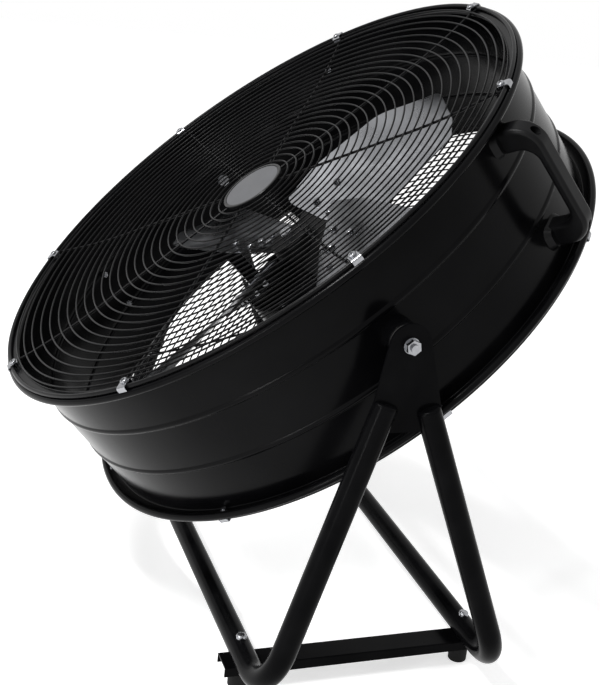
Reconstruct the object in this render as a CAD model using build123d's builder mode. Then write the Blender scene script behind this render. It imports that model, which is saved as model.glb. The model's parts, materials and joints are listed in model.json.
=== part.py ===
from build123d import *

import os
from math import cos, pi, radians, sin, sqrt, tan

# A drum fan on a two-tube stand. Millimetres and degrees, +Z up, front towards -Y.
# The origin lies on the floor under the middle of the tilt axis, which runs along X.
# The drum's own pieces are drawn in the drum's frame, where Z is the way the air is
# blown, X is the tilt axis and the origin is the middle of that axis. They are then
# placed by drum_plane.

# ---- drum ----
tilt_angle = 49.7            # how far the blowing side points up from level, at rest
pivot_height = 414.0
wall_diameter = 667.0        # outside of the sheet wall
flange_width = 16.5          # from the wall's outside to the outside of the rolled bead
wall_thickness = 1.5
front_depth = 88.5           # from the tilt axis to the face of the front bead
rear_depth = 99.0            # from the tilt axis to the face of the rear bead
bead_diameter = 8.0
bead_proud = 0.5             # the bead stands this far out of the flange's face
fold_radius = 1.0            # inside the bend from the wall to the flange
rib_count = 2
rib_height = 2.0
rib_width = 12.0

# ---- guards ----
ring_pitch = 12.0
first_ring_radius = 48.0
edge_ring_insets = (20.5, 11.0)  # from the rim ring in to the two outermost rings
ring_wire = 2.0
rim_wire = 5.0
rim_ring_inset = 7.0         # from the outside of the bead to the rim ring's centre line
spoke_wire = 3.0
spoke_count = 8
guard_dish = 8.0             # how far the middle of the guard is set in
dish_start_radius = 216.0
dish_margin = 2.0            # the dish ends this far inside the wall
weld_depth = 0.35
centre_disc_radius = 34.0
centre_disc_thickness = 2.0
spoke_steps = 4              # straight lengths in the curved part of a spoke

# ---- badge ----
badge_diameter = 71.8
badge_thickness = 1.6
bezel_diameter = 79.0
bezel_floor = 1.6
bezel_height = 3.6
badge_gap = 0.2

# ---- guard clips ----
clip_count = 8
clip_width = 11.0
clip_thickness = 1.2
clip_inset = 2.0             # from the outside of the bead to the outside of the clip
clip_reach = 14.2            # from the clip's outside to its inner leg
clip_bend = 2.6
clip_gap = 0.1
clip_screw_inset = 4.3       # from the clip's inner leg to its screw
clip_screw_diameter = 4.0
clip_head_diameter = 8.0
clip_head_height = 2.5
clip_nut_flats = 7.0
clip_nut_height = 3.2
clip_spoke_gap = 0.4

# ---- fasteners ----
thread_past_nut = 2.0
head_round_share = 0.6       # rounding of a domed head against its height
cross_share = 0.6            # length of a head's cross recess against the head
cross_width = 1.2
edge_round = 1.0

# ---- handles ----
handle_angle = 38.0          # above the tilt axis, round the drum
handle_centre = -2.0
handle_leg_outer = 74.0      # from the handle's middle to the outer face of a leg
handle_leg_inner = 48.0
handle_height = 47.0         # from the drum's wall to the top of the grip
handle_grip_height = 12.0
handle_grip_width = 22.0
handle_foot_length = 32.0
handle_foot_width = 44.0
handle_foot_height = 9.0
handle_foot_taper = 30.0
handle_foot_round = 12.0
handle_edge_radius = 4.5
handle_corner_radius = 28.0
handle_finger_radius = 17.0
handle_root_depth = 2.0      # the feet are drawn this deep, then cut to the wall
handle_screw_diameter = 5.0
handle_recess_diameter = 10.0
handle_recess_floor = 20.0   # plastic left under the screw's head
handle_head_diameter = 9.0
handle_head_height = 3.2
handle_nut_flats = 8.0
handle_nut_height = 4.0

# ---- motor ----
motor_diameter = 170.0
motor_length = 42.0
motor_shell_thickness = 2.0
bell_depth = 11.0
bell_thickness = 3.0
bearing_diameter = 28.0
bearing_boss_wall = 5.0
shaft_diameter = 16.0
shaft_stub = 10.0            # shaft in front of the hub
shaft_clearance = 0.05
bell_shaft_gap = 0.6
stator_length = 16.0
stator_bore = 104.0
air_gap = 0.5
winding_inset = 4.0
winding_height = 7.0
stud_inset = 7.0             # from the motor's outside to the middle of a stud
stud_x = 54.0
stud_diameter = 5.0
stud_nut_flats = 8.0
stud_nut_height = 4.0

# ---- motor bars ----
bar_size = 20.0
bar_wall = 2.0
bar_back_gap = 2.5           # from the rear flange's face to the back of a bar
bar_weld_gap = 0.2

# ---- blades ----
blade_count = 4
first_blade_angle = 100.0
blade_gap = 26.0             # from the motor's face to the blades' middle
blade_radius = 292.0
blade_thickness = 1.6
blade_camber = 8.0
root_station = 48.0
root_pitch = 30.0
tip_pitch = 12.0
chord_lead = 90.0
chord_trail = -65.0
loft_stations = (8.0, 90.0, 190.0, 302.0)
# Each corner of a blade: out along the blade, round the fan, and its rounding.
blade_corners = (
    (91.0, -41.0, 12.0),
    (50.0, 6.0, 20.0),
    (39.0, 56.0, 9.0),
    (99.0, 70.5, 60.0),
    (216.0, 79.5, 70.0),
    (289.0, 47.0, 8.0),
    (257.0, -12.0, 30.0),
    (232.0, -37.0, 14.0),
)
rivet_places = ((63.0, 29.5), (74.5, 12.5), (86.5, -7.5), (100.5, 33.5), (61.0, 8.0))
rivet_diameter = 5.0
rivet_head_diameter = 9.0
rivet_head_height = 2.4
rivet_gap = 0.1
rivet_face_gap = 0.2         # under a front head, beyond the sheet's slope there
rivet_back_gap = 0.4

# ---- hub and spider ----
hub_diameter = 52.0
hub_front = 14.0             # hub in front of and behind the blades' middle
hub_back = 24.0
arm_thickness = 3.0
arm_gap = 0.1
arm_outline = ((8.0, -14.0), (8.0, 20.0), (52.0, 38.0), (106.0, 44.0), (124.0, 12.0), (88.0, -21.0))
arm_round = 7.0
set_screw_diameter = 8.0
set_screw_drop = 18.5
set_screw_inset = 1.0

# ---- switch box ----
box_angle = 220.0
box_width = 110.0
box_length = 76.0
box_middle = -5.0
box_depth = 46.5             # from the drum's wall to the face of the cover
box_wall = 2.0
box_round = 5.0
cover_thickness = 2.0
cover_screw_inset = 9.0
cover_screw_diameter = 4.0
box_post = 5.0
box_floor = 3.0
box_screw_inset = 11.0       # from the end of the box to a screw into the drum
cover_screw_length = 9.0
box_root_depth = 1.0         # the box is drawn this deep, then cut to the wall
box_screw_diameter = 5.0
switch_body_size = 26.0
switch_body_depth = 18.0
switch_stem_diameter = 6.0
knob_diameter = 30.0
knob_height = 15.0
knob_grip_length = 27.0
knob_grip_width = 10.0
knob_taper = 4.0
knob_gap = 0.3
stem_gap = 0.1
switch_side_gap = 12.0       # from the inside of the box to the switch
capacitor_width = 50.0
capacitor_length = 30.0
capacitor_height = 20.0
capacitor_side_gap = 4.0     # from the inside of the box to the capacitor
gland_diameter = 20.0
gland_length = 16.0
gland_bore = 8.0
gland_hole = 12.0
gland_collar = 2.0
gland_nut_length = 5.3
gland_thread = 6.0
gland_taper = 6.0

# ---- tilt pivots ----
boss_diameter = 35.0
boss_length = 26.0
boss_wall = 4.0
disc_diameter = 34.0
disc_thickness = 8.95
disc_gap = 0.2
disc_chamfer = 0.6
bolt_diameter = 8.0
bolt_clearance = 0.08
bolt_head_flats = 13.0
bolt_head_height = 5.3
washer_diameter = 16.0
washer_thickness = 1.6
washer_gap = 0.1
pivot_nut_height = 6.5
bolt_end = 3.0

# ---- stand ----
plate_thickness = 3.0
plate_apex_radius = 21.0
plate_foot_drop = 84.0       # from the tilt axis down to the plate's lower corners
plate_foot_front = -30.0
plate_foot_back = 42.0
plate_corner_radius = 4.0
plate_slot_gap = 0.15
tube_diameter = 25.0
tube_wall = 1.5
tube_bend_radius = 55.0
front_run = -106.7
rear_run = 152.4
front_leg_drop = 62.0        # from the tilt axis down to the top of a front leg
rear_leg_drop = 67.0
tube_cap_height = 4.0
tube_cap_round = 3.5
foot_height = 20.0
foot_diameter = 21.0
foot_round = 1.5
rail_inset = 92.3            # from the side plate's middle to the rail's middle
rail_width = 30.0
rail_depth = 11.0
rail_wall = 1.5
rail_front = -126.0
rail_back = 172.0
tube_bolt_diameter = 6.0
tube_bolt_clearance = 0.3
tube_bolt_head = 11.0
tube_bolt_head_height = 4.5
tube_nut_flats = 10.0
tube_nut_height = 5.0
foot_pocket_diameter = 13.0
foot_pocket_depth = 15.0
seat_gap = 0.05

# ---- worked-out sizes ----
wall_radius = wall_diameter / 2
wall_inside = wall_radius - wall_thickness
rim_diameter = wall_diameter + 2 * flange_width
bead_radius = bead_diameter / 2
bead_circle = rim_diameter / 2 - bead_radius
front_face = front_depth - bead_proud
rear_face = -(rear_depth - bead_proud)
fold_outside = fold_radius + wall_thickness
rib_heights = [rear_face + (front_face - rear_face) * (i + 1) / (rib_count + 1) for i in range(rib_count)]
drum_normal = Vector(0, -cos(radians(tilt_angle)), sin(radians(tilt_angle)))
drum_plane = Plane(origin=(0, 0, pivot_height), x_dir=(1, 0, 0), z_dir=drum_normal)
bolt_hole_radius = bolt_diameter / 2 + bolt_clearance
bar_back = rear_face + bar_back_gap
motor_rear = bar_back + bar_size
motor_front = motor_rear + motor_length
blade_axial = motor_front + blade_gap
plate_inside = wall_radius + boss_length + seat_gap + disc_thickness + disc_gap
plate_middle = plate_inside + plate_thickness / 2
rail_middle = plate_middle - rail_inset

os.makedirs("parts", exist_ok=True)


def save(part, name, plane=Plane.XY):
    """Label a finished piece, place it by its plane and write it as a STEP file."""
    placed = part.moved(plane.location)
    placed.label = name
    export_step(placed, f"parts/{name}.step")


def outward(angle):
    """Unit vector from the drum's axis at an angle round it, in the drum's frame."""
    return Vector(cos(radians(angle)), sin(radians(angle)), 0)


def around(angle):
    """Unit vector round the drum at an angle, in the drum's frame."""
    return Vector(-sin(radians(angle)), cos(radians(angle)), 0)


def wall_plane(angle, axial=0.0, radius=0.0):
    """Plane whose X runs round the drum, Y along its axis and Z outwards."""
    origin = outward(angle) * radius + Vector(0, 0, axial)
    return Plane(origin=origin, x_dir=around(angle), z_dir=outward(angle))


# ======================================================================
# Drum shell: one spun sheet with two pressed ribs and a rolled bead at each rim
# ======================================================================
def wall_line(radius, low, high):
    """Draw one face of the wall from low to high, stepping out over each rib."""
    start = (radius, low)
    for height in rib_heights:
        foot = (radius, height - rib_width / 2)
        end = (radius, height + rib_width / 2)
        Line(start, foot)
        ThreePointArc(foot, (radius + rib_height, height), end)
        start = end
    Line(start, (radius, high))


def rim_lines(face, side):
    """Draw the flange at one rim; side is 1 at the front and -1 at the rear."""
    back = face - side * wall_thickness
    bend = face - side * fold_outside
    corner = wall_inside + fold_outside
    slant = sqrt(0.5)
    outer_middle = (corner - fold_outside * slant, bend + side * fold_outside * slant)
    inner_middle = (corner - fold_radius * slant, bend + side * fold_radius * slant)
    ThreePointArc((wall_inside, bend), outer_middle, (corner, face))
    Line((corner, face), (bead_circle, face))
    Line((bead_circle, face), (bead_circle, back))
    Line((bead_circle, back), (corner, back))
    ThreePointArc((corner, back), inner_middle, (wall_radius, bend))


with BuildPart() as drum_shell:
    with BuildSketch(Plane.XZ):
        with BuildLine():
            wall_line(wall_inside, rear_face + fold_outside, front_face - fold_outside)
            wall_line(wall_radius, rear_face + fold_outside, front_face - fold_outside)
            rim_lines(front_face, 1)
            rim_lines(rear_face, -1)
        make_face()
        with Locations((bead_circle, front_depth - bead_radius), (bead_circle, bead_radius - rear_depth)):
            Circle(bead_radius)
    revolve(axis=Axis.Z)
    with BuildSketch(Plane.YZ):
        Circle(bolt_hole_radius)
    extrude(amount=rim_diameter, both=True, mode=Mode.SUBTRACT)

# ======================================================================
# Guards: rings welded to spokes, dished in the middle
# ======================================================================
rim_ring_radius = rim_diameter / 2 - rim_ring_inset
rim_ring_height = rim_wire / 2 + seat_gap
spoke_rim_height = spoke_wire / 2 + seat_gap
spoke_end_radius = rim_ring_radius - spoke_wire / 2
dish_end_radius = wall_inside - dish_margin
edge_ring_radii = [rim_ring_radius - inset for inset in edge_ring_insets]
ring_count = int((edge_ring_radii[0] - first_ring_radius) / ring_pitch + 0.5)


def spoke_height(radius):
    """Height of a spoke's centre line over the rim's face at a distance from the axis."""
    share = (radius - dish_start_radius) / (dish_end_radius - dish_start_radius)
    return spoke_rim_height - guard_dish * (1 - min(max(share, 0), 1) ** 2)


def ring_height(radius):
    """Height of a ring's centre line, welded on top of the spokes."""
    return spoke_height(radius) + (spoke_wire + ring_wire) / 2 - weld_depth


ring_radii = [first_ring_radius + i * ring_pitch for i in range(ring_count)] + edge_ring_radii
spoke_floor = spoke_height(0)
spoke_step = (dish_end_radius - dish_start_radius) / spoke_steps
spoke_bends = [dish_start_radius + spoke_step * i for i in range(spoke_steps + 1)] + [spoke_end_radius]

with BuildPart() as guard_spoke:
    with BuildLine(Plane.XZ) as spoke_path:
        Polyline((0, spoke_floor), *[(radius, spoke_height(radius)) for radius in spoke_bends])
    with BuildSketch(Plane.YZ):
        with Locations((0, spoke_floor)):
            RegularPolygon(spoke_wire / 2, 6)
    sweep(path=spoke_path.wire(), transition=Transition.RIGHT)
    with BuildSketch(Plane.XY.offset(spoke_floor)):
        Circle(centre_disc_radius / 2)
    extrude(amount=spoke_wire, both=True, mode=Mode.SUBTRACT)

with BuildPart() as guard:
    with BuildSketch(Plane.XZ):
        for radius in ring_radii:
            with Locations((radius, ring_height(radius))):
                RegularPolygon(ring_wire / 2, 8)
        with Locations((rim_ring_radius, rim_ring_height)):
            RegularPolygon(rim_wire / 2, 12)
    revolve(axis=Axis.Z)
    with PolarLocations(0, spoke_count):
        add(guard_spoke.part)
    with BuildSketch(Plane.XY.offset(spoke_floor + spoke_wire / 2)):
        Circle(centre_disc_radius)
    extrude(amount=-centre_disc_thickness)

# The same guard serves both ends: at the rear it is moved back without being turned over,
# so its middle is dished outwards and leaves room for the motor.
rear_guard_drop = front_face - rear_face + 2 * rim_ring_height
front_guard_plane = Plane.XY.offset(front_face)
rear_guard_plane = Plane.XY.offset(front_face - rear_guard_drop)

# ======================================================================
# Badge: a blank disc in a dark bezel, seated on the front guard's centre disc
# ======================================================================
bezel_base = front_face + spoke_floor + spoke_wire / 2
with BuildPart() as badge_bezel:
    with BuildSketch(Plane.XY.offset(bezel_base)):
        Circle(bezel_diameter / 2)
    extrude(amount=bezel_height)
    chamfer(badge_bezel.edges().group_by(Axis.Z)[-1], 0.8)
    with BuildSketch(Plane.XY.offset(bezel_base + bezel_floor)):
        Circle(badge_diameter / 2 + badge_gap)
    extrude(amount=bezel_height, mode=Mode.SUBTRACT)

with BuildPart() as badge_disc:
    with BuildSketch(Plane.XY.offset(bezel_base + bezel_floor)):
        Circle(badge_diameter / 2)
    extrude(amount=badge_thickness)
    fillet(badge_disc.edges().group_by(Axis.Z)[-1], badge_thickness / 3)

# ======================================================================
# Guard clips: a bent zinc saddle over the rim wire, with a screw through the flange
# ======================================================================
clip_outer_radius = rim_diameter / 2 - clip_inset
clip_inner_radius = clip_outer_radius - clip_reach
clip_screw_radius = clip_inner_radius + clip_screw_inset
clip_top = rim_ring_height + rim_wire / 2 + clip_gap
clip_offset = spoke_wire / 2 + clip_spoke_gap + clip_width / 2
screw_end = wall_thickness + seat_gap + clip_nut_height + clip_screw_diameter / 4


def hex_radius(flats):
    """Corner radius of a hexagon from its width over the flats."""
    return flats / sqrt(3)


with BuildPart() as guard_clip:
    with BuildSketch(Plane.XZ.offset(-clip_offset)):
        with BuildLine():
            Polyline(
                (clip_inner_radius, clip_gap),
                (clip_inner_radius, clip_top + clip_thickness),
                (clip_outer_radius, clip_top + clip_thickness),
                (clip_outer_radius, bead_proud + clip_gap),
                (clip_outer_radius - clip_thickness, bead_proud + clip_gap),
                (clip_outer_radius - clip_thickness, clip_top),
                (clip_inner_radius + clip_thickness, clip_top),
                (clip_inner_radius + clip_thickness, clip_gap),
                close=True,
            )
        make_face()
    extrude(amount=clip_width / 2, both=True)
    outer_bends = guard_clip.edges().filter_by(Axis.Y).group_by(Axis.Z)[-1]
    fillet(outer_bends, clip_bend)
    with BuildSketch(Plane.XY):
        with Locations((clip_screw_radius, clip_offset)):
            Circle(clip_screw_diameter / 2 + clip_gap)
    extrude(amount=clip_top * 2, mode=Mode.SUBTRACT)

with BuildPart() as clip_screw:
    with BuildSketch(Plane.XY.offset(clip_top + clip_thickness)):
        with Locations((clip_screw_radius, clip_offset)):
            Circle(clip_head_diameter / 2)
    extrude(amount=clip_head_height)
    fillet(clip_screw.edges().group_by(Axis.Z)[-1], clip_head_height * head_round_share)
    with BuildSketch(Plane.XY.offset(clip_top + clip_thickness)):
        with Locations((clip_screw_radius, clip_offset)):
            Circle(clip_screw_diameter / 2)
    extrude(amount=-(clip_top + clip_thickness + screw_end))
    with BuildSketch(Plane.XY.offset(clip_top + clip_thickness + clip_head_height)):
        with Locations((clip_screw_radius, clip_offset)):
            Rectangle(clip_head_diameter * cross_share, cross_width)
            Rectangle(cross_width, clip_head_diameter * cross_share)
    extrude(amount=-clip_head_height / 2, mode=Mode.SUBTRACT)

with BuildPart() as clip_nut:
    with BuildSketch(Plane.XY.offset(-wall_thickness - seat_gap)):
        with Locations((clip_screw_radius, clip_offset)):
            RegularPolygon(hex_radius(clip_nut_flats), 6, rotation=30)
            Circle(clip_screw_diameter / 2 + seat_gap, mode=Mode.SUBTRACT)
    extrude(amount=-clip_nut_height)

# The drum's flanges are drilled for the clip screws.
with BuildPart() as clip_drill:
    for face, side in ((front_face, 1), (rear_face, -1)):
        with BuildSketch(Plane.XY.offset(face)):
            with PolarLocations(0, clip_count):
                with Locations((clip_screw_radius, side * clip_offset)):
                    Circle(clip_screw_diameter / 2 + clip_gap)
        extrude(amount=wall_thickness * 2, both=True)

# ======================================================================
# What the handles, bosses and switch box stand on: the drum's outer face
# ======================================================================
with BuildPart() as drum_outside:
    with BuildSketch(Plane.XZ):
        with BuildLine():
            wall_line(wall_radius + seat_gap, rear_face, front_face)
            Polyline((wall_radius + seat_gap, rear_face), (0, rear_face), (0, front_face),
                     (wall_radius + seat_gap, front_face))
        make_face()
    revolve(axis=Axis.Z)

# ======================================================================
# Handles: moulded plastic, one on each side above the pivot
# ======================================================================
handle_base = wall_radius - handle_foot_width**2 / (8 * wall_radius) - handle_root_depth
handle_top_radius = wall_radius + handle_height
grip_bottom = handle_top_radius - handle_grip_height
leg_middle = (handle_leg_outer + handle_leg_inner) / 2
handle_screw_places = (handle_centre + leg_middle, handle_centre - leg_middle)
recess_floor_radius = wall_radius + handle_recess_floor


def handle_plane(angle):
    """Plane through the drum's axis: X along the axis, Y outwards, Z round the drum."""
    return Plane(origin=(0, 0, handle_centre), x_dir=(0, 0, 1), z_dir=around(angle))


def handle_at(angle):
    """Build the handle at an angle round the drum."""
    with BuildPart() as handle:
        with BuildSketch(handle_plane(angle)) as profile:
            with BuildLine():
                Polyline(
                    (handle_leg_outer, handle_base),
                    (handle_leg_outer, handle_top_radius),
                    (-handle_leg_outer, handle_top_radius),
                    (-handle_leg_outer, handle_base),
                    (-handle_leg_inner, handle_base),
                    (-handle_leg_inner, grip_bottom),
                    (handle_leg_inner, grip_bottom),
                    (handle_leg_inner, handle_base),
                    close=True,
                )
            make_face()
            rows = profile.vertices().group_by(Axis.Y)
            fillet(rows[-1], handle_corner_radius)
            finger_corners = profile.vertices().filter_by(lambda v: abs(v.Y - grip_bottom) < 1e-6)
            fillet(finger_corners, handle_finger_radius)
        extrude(amount=handle_grip_width / 2, both=True)
        across = Axis((0, 0, 0), around(angle))
        sides = handle.faces().filter_by(across)
        fillet(sides.edges(), handle_edge_radius)
        for axial in handle_screw_places:
            with BuildSketch(wall_plane(angle, axial, handle_base)):
                RectangleRounded(handle_foot_width, handle_foot_length, handle_foot_round)
            extrude(amount=handle_foot_height, taper=handle_foot_taper)
        add(drum_outside.part, mode=Mode.SUBTRACT)
        for axial in handle_screw_places:
            with BuildSketch(wall_plane(angle, axial, recess_floor_radius)):
                Circle(handle_recess_diameter / 2)
            extrude(amount=handle_top_radius, mode=Mode.SUBTRACT)
            with BuildSketch(wall_plane(angle, axial, handle_base)):
                Circle(handle_screw_diameter / 2 + clip_gap)
            extrude(amount=handle_top_radius - handle_base, mode=Mode.SUBTRACT)
    return handle.part


handle_angles = {"right_handle": handle_angle, "left_handle": 180 - handle_angle}
handles = {name: handle_at(angle) for name, angle in handle_angles.items()}

with BuildPart() as handle_screws:
    for angle in handle_angles.values():
        for axial in handle_screw_places:
            with BuildSketch(wall_plane(angle, axial, recess_floor_radius)):
                Circle(handle_head_diameter / 2)
            extrude(amount=handle_head_height)
            with BuildSketch(wall_plane(angle, axial, recess_floor_radius)):
                Circle(handle_screw_diameter / 2)
            extrude(amount=-(handle_recess_floor + wall_thickness + handle_nut_height + thread_past_nut))
            with BuildSketch(wall_plane(angle, axial, recess_floor_radius + handle_head_height)):
                Rectangle(handle_head_diameter * cross_share, cross_width)
                Rectangle(cross_width, handle_head_diameter * cross_share)
            extrude(amount=-handle_head_height / 2, mode=Mode.SUBTRACT)

with BuildPart() as handle_nuts:
    for angle in handle_angles.values():
        for axial in handle_screw_places:
            with BuildSketch(wall_plane(angle, axial, wall_inside - clip_gap)):
                RegularPolygon(hex_radius(handle_nut_flats), 6)
                Circle(handle_screw_diameter / 2 + seat_gap, mode=Mode.SUBTRACT)
            extrude(amount=-handle_nut_height)

# ======================================================================
# Switch box on the drum's far side, low at the back
# ======================================================================
box_low = sqrt(wall_radius**2 - (box_width / 2) ** 2) - box_root_depth
box_floor_radius = wall_radius + box_floor
box_face_radius = wall_radius + box_depth
box_top = box_face_radius - cover_thickness
post_x = box_width / 2 - cover_screw_inset
post_y = box_length / 2 - cover_screw_inset
box_inner_half = box_width / 2 - box_wall
knob_offset = switch_body_size / 2 + switch_side_gap - box_inner_half
capacitor_offset = box_inner_half - capacitor_side_gap - capacitor_width / 2
box_screw_places = [box_middle + side * (box_length / 2 - box_screw_inset) for side in (1, -1)]
cover_spots = GridLocations(2 * post_x, 2 * post_y, 2, 2)

with BuildPart() as switch_box:
    with BuildSketch(wall_plane(box_angle, box_middle, box_low)):
        RectangleRounded(box_width, box_length, box_round)
    extrude(amount=box_top - box_low)
    with BuildSketch(wall_plane(box_angle, box_middle, box_floor_radius)):
        RectangleRounded(box_width - 2 * box_wall, box_length - 2 * box_wall, box_round - box_wall)
    extrude(amount=box_top, mode=Mode.SUBTRACT)
    with BuildSketch(wall_plane(box_angle, box_middle, box_floor_radius)):
        with cover_spots:
            Circle(box_post)
    extrude(amount=box_top - box_floor_radius)
    with BuildSketch(wall_plane(box_angle, box_middle, box_top)):
        with cover_spots:
            Circle(cover_screw_diameter / 2 + seat_gap)
    extrude(amount=-cover_screw_length, mode=Mode.SUBTRACT)
    add(drum_outside.part, mode=Mode.SUBTRACT)
    for axial in box_screw_places:
        with BuildSketch(wall_plane(box_angle, axial, box_low)):
            Circle(box_screw_diameter / 2 + clip_gap)
        extrude(amount=box_top - box_low, mode=Mode.SUBTRACT)
    gland_seat = Plane(
        origin=outward(box_angle) * ((box_floor_radius + box_top) / 2) + around(box_angle) * knob_offset
        + Vector(0, 0, box_middle - box_length / 2),
        x_dir=around(box_angle),
        z_dir=(0, 0, -1),
    )
    with BuildSketch(gland_seat):
        Circle(gland_hole / 2 + clip_gap)
    extrude(amount=-gland_thread, mode=Mode.SUBTRACT)

with BuildPart() as switch_box_cover:
    with BuildSketch(wall_plane(box_angle, box_middle, box_top)):
        RectangleRounded(box_width, box_length, box_round)
        with Locations((knob_offset, 0)):
            Circle(switch_stem_diameter / 2 + knob_gap, mode=Mode.SUBTRACT)
        with cover_spots:
            Circle(cover_screw_diameter / 2 + clip_gap, mode=Mode.SUBTRACT)
    extrude(amount=cover_thickness)

with BuildPart() as box_screws:
    with BuildSketch(wall_plane(box_angle, box_middle, box_face_radius)):
        with cover_spots:
            Circle(cover_screw_diameter)
    extrude(amount=clip_head_height)
    head_axis = Axis((0, 0, 0), outward(box_angle))
    head_rims = box_screws.edges().filter_by(GeomType.CIRCLE).group_by(head_axis)[-1]
    fillet(head_rims, edge_round)
    with BuildSketch(wall_plane(box_angle, box_middle, box_face_radius)):
        with cover_spots:
            Circle(cover_screw_diameter / 2)
    extrude(amount=-cover_screw_length)
    for axial in box_screw_places:
        with BuildSketch(wall_plane(box_angle, axial, box_floor_radius)):
            Circle(handle_head_diameter / 2)
        extrude(amount=handle_head_height)
        with BuildSketch(wall_plane(box_angle, axial, box_floor_radius)):
            Circle(box_screw_diameter / 2)
        extrude(amount=-(box_floor + wall_thickness + handle_nut_height + thread_past_nut))

with BuildPart() as box_nuts:
    for axial in box_screw_places:
        with BuildSketch(wall_plane(box_angle, axial, wall_inside - clip_gap)):
            RegularPolygon(hex_radius(handle_nut_flats), 6)
            Circle(box_screw_diameter / 2 + seat_gap, mode=Mode.SUBTRACT)
        extrude(amount=-handle_nut_height)

with BuildPart() as rotary_switch:
    with BuildSketch(wall_plane(box_angle, box_middle, box_top - seat_gap)):
        with Locations((knob_offset, 0)):
            Rectangle(switch_body_size, switch_body_size)
            Circle(switch_stem_diameter / 2 + stem_gap, mode=Mode.SUBTRACT)
    extrude(amount=-switch_body_depth)

with BuildPart() as switch_knob:
    with BuildSketch(wall_plane(box_angle, box_middle, box_face_radius + knob_gap)):
        with Locations((knob_offset, 0)):
            Circle(knob_diameter / 2)
    extrude(amount=knob_height / 2, taper=knob_taper)
    with BuildSketch(wall_plane(box_angle, box_middle, box_face_radius + knob_gap)):
        with Locations((knob_offset, 0)):
            SlotOverall(knob_grip_length, knob_grip_width)
    extrude(amount=knob_height)
    with BuildSketch(wall_plane(box_angle, box_middle, box_face_radius + knob_gap)):
        with Locations((knob_offset, 0)):
            Circle(switch_stem_diameter / 2)
    extrude(amount=-(cover_thickness + knob_gap + switch_body_depth / 2))

with BuildPart() as capacitor:
    with BuildSketch(wall_plane(box_angle, box_middle, box_floor_radius + seat_gap)):
        with Locations((capacitor_offset, 0)):
            SlotOverall(capacitor_width, capacitor_length)
    extrude(amount=capacitor_height)

with BuildPart() as cord_gland:
    with BuildSketch(gland_seat):
        RegularPolygon(gland_diameter / 2, 6)
    extrude(amount=gland_nut_length)
    with BuildSketch(gland_seat):
        Circle(gland_hole / 2 + gland_collar)
    extrude(amount=gland_length, taper=gland_taper)
    with BuildSketch(gland_seat):
        Circle(gland_hole / 2)
    extrude(amount=-gland_thread)
    with BuildSketch(gland_seat.offset(gland_length)):
        Circle(gland_bore / 2)
    extrude(amount=-(gland_length + gland_thread), mode=Mode.SUBTRACT)

# ======================================================================
# Tilt pivots: a boss on the wall, a friction disc, and a bolt through the side plate
# ======================================================================
boss_face = wall_radius + boss_length
plate_outside = plate_inside + plate_thickness
inner_washer_face = sqrt(wall_inside**2 - (washer_diameter / 2) ** 2) - seat_gap
outer_washer_face = plate_outside + washer_gap
nut_face = outer_washer_face + washer_thickness
bolt_head_face = inner_washer_face - washer_thickness


def side_plane(side, distance):
    """Plane square to the tilt axis, facing out, on the right (1) or the left (-1)."""
    return Plane(origin=(side * distance, 0, 0), x_dir=(0, side, 0), z_dir=(side, 0, 0))


def boss_at(side):
    """Build the hollow boss on one side of the drum."""
    with BuildPart() as boss:
        with BuildSketch(side_plane(side, wall_radius - boss_wall)):
            Circle(boss_diameter / 2)
        extrude(amount=boss_length + boss_wall)
        fillet(boss.edges().group_by(Axis((0, 0, 0), (side, 0, 0)))[-1], edge_round)
        with BuildSketch(side_plane(side, boss_face - boss_wall)):
            Circle(boss_diameter / 2 - boss_wall)
        extrude(amount=-boss_length, mode=Mode.SUBTRACT)
        with BuildSketch(side_plane(side, boss_face)):
            Circle(bolt_hole_radius)
        extrude(amount=-boss_length, mode=Mode.SUBTRACT)
        add(drum_outside.part, mode=Mode.SUBTRACT)
    return boss.part


def disc_at(side):
    """Build the friction disc between a boss and its side plate."""
    with BuildPart() as disc:
        with BuildSketch(side_plane(side, boss_face + seat_gap)):
            Circle(disc_diameter / 2)
            Circle(bolt_hole_radius, mode=Mode.SUBTRACT)
        extrude(amount=disc_thickness)
        chamfer(disc.faces().filter_by(GeomType.CYLINDER).sort_by(SortBy.AREA)[-1].edges(), disc_chamfer)
    return disc.part


with BuildPart() as pivot_bolts:
    for side in (1, -1):
        with BuildSketch(side_plane(side, bolt_head_face)):
            RegularPolygon(hex_radius(bolt_head_flats), 6)
        extrude(amount=-bolt_head_height)
        with BuildSketch(side_plane(side, bolt_head_face)):
            Circle(bolt_diameter / 2)
        extrude(amount=nut_face + pivot_nut_height + bolt_end - bolt_head_face)

with BuildPart() as pivot_washers:
    for side in (1, -1):
        for face in (bolt_head_face, outer_washer_face):
            with BuildSketch(side_plane(side, face)):
                Circle(washer_diameter / 2)
                Circle(bolt_hole_radius, mode=Mode.SUBTRACT)
            extrude(amount=washer_thickness)

with BuildPart() as pivot_nuts:
    for side in (1, -1):
        with BuildSketch(side_plane(side, nut_face)):
            RegularPolygon(hex_radius(bolt_head_flats), 6)
            Circle(bolt_hole_radius, mode=Mode.SUBTRACT)
        extrude(amount=pivot_nut_height)

# ======================================================================
# Motor: a flat motor behind the blades
# ======================================================================
motor_radius = motor_diameter / 2
stud_circle = motor_radius - stud_inset
stud_y = sqrt(stud_circle**2 - stud_x**2)
stud_hole = stud_diameter / 2 + clip_gap
shell_front = motor_front - bell_depth
shell_rear = motor_rear + bell_depth
stator_middle = (motor_front + motor_rear) / 2
stud_spots = GridLocations(2 * stud_x, 2 * stud_y, 2, 2)
shaft_radius = shaft_diameter / 2
bearing_radius = bearing_diameter / 2
shaft_front = blade_axial + hub_front + shaft_stub

with BuildPart() as motor_shell:
    with BuildSketch(Plane.XY.offset(shell_rear)):
        Circle(motor_radius)
        Circle(motor_radius - motor_shell_thickness, mode=Mode.SUBTRACT)
    extrude(amount=shell_front - shell_rear)


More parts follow.
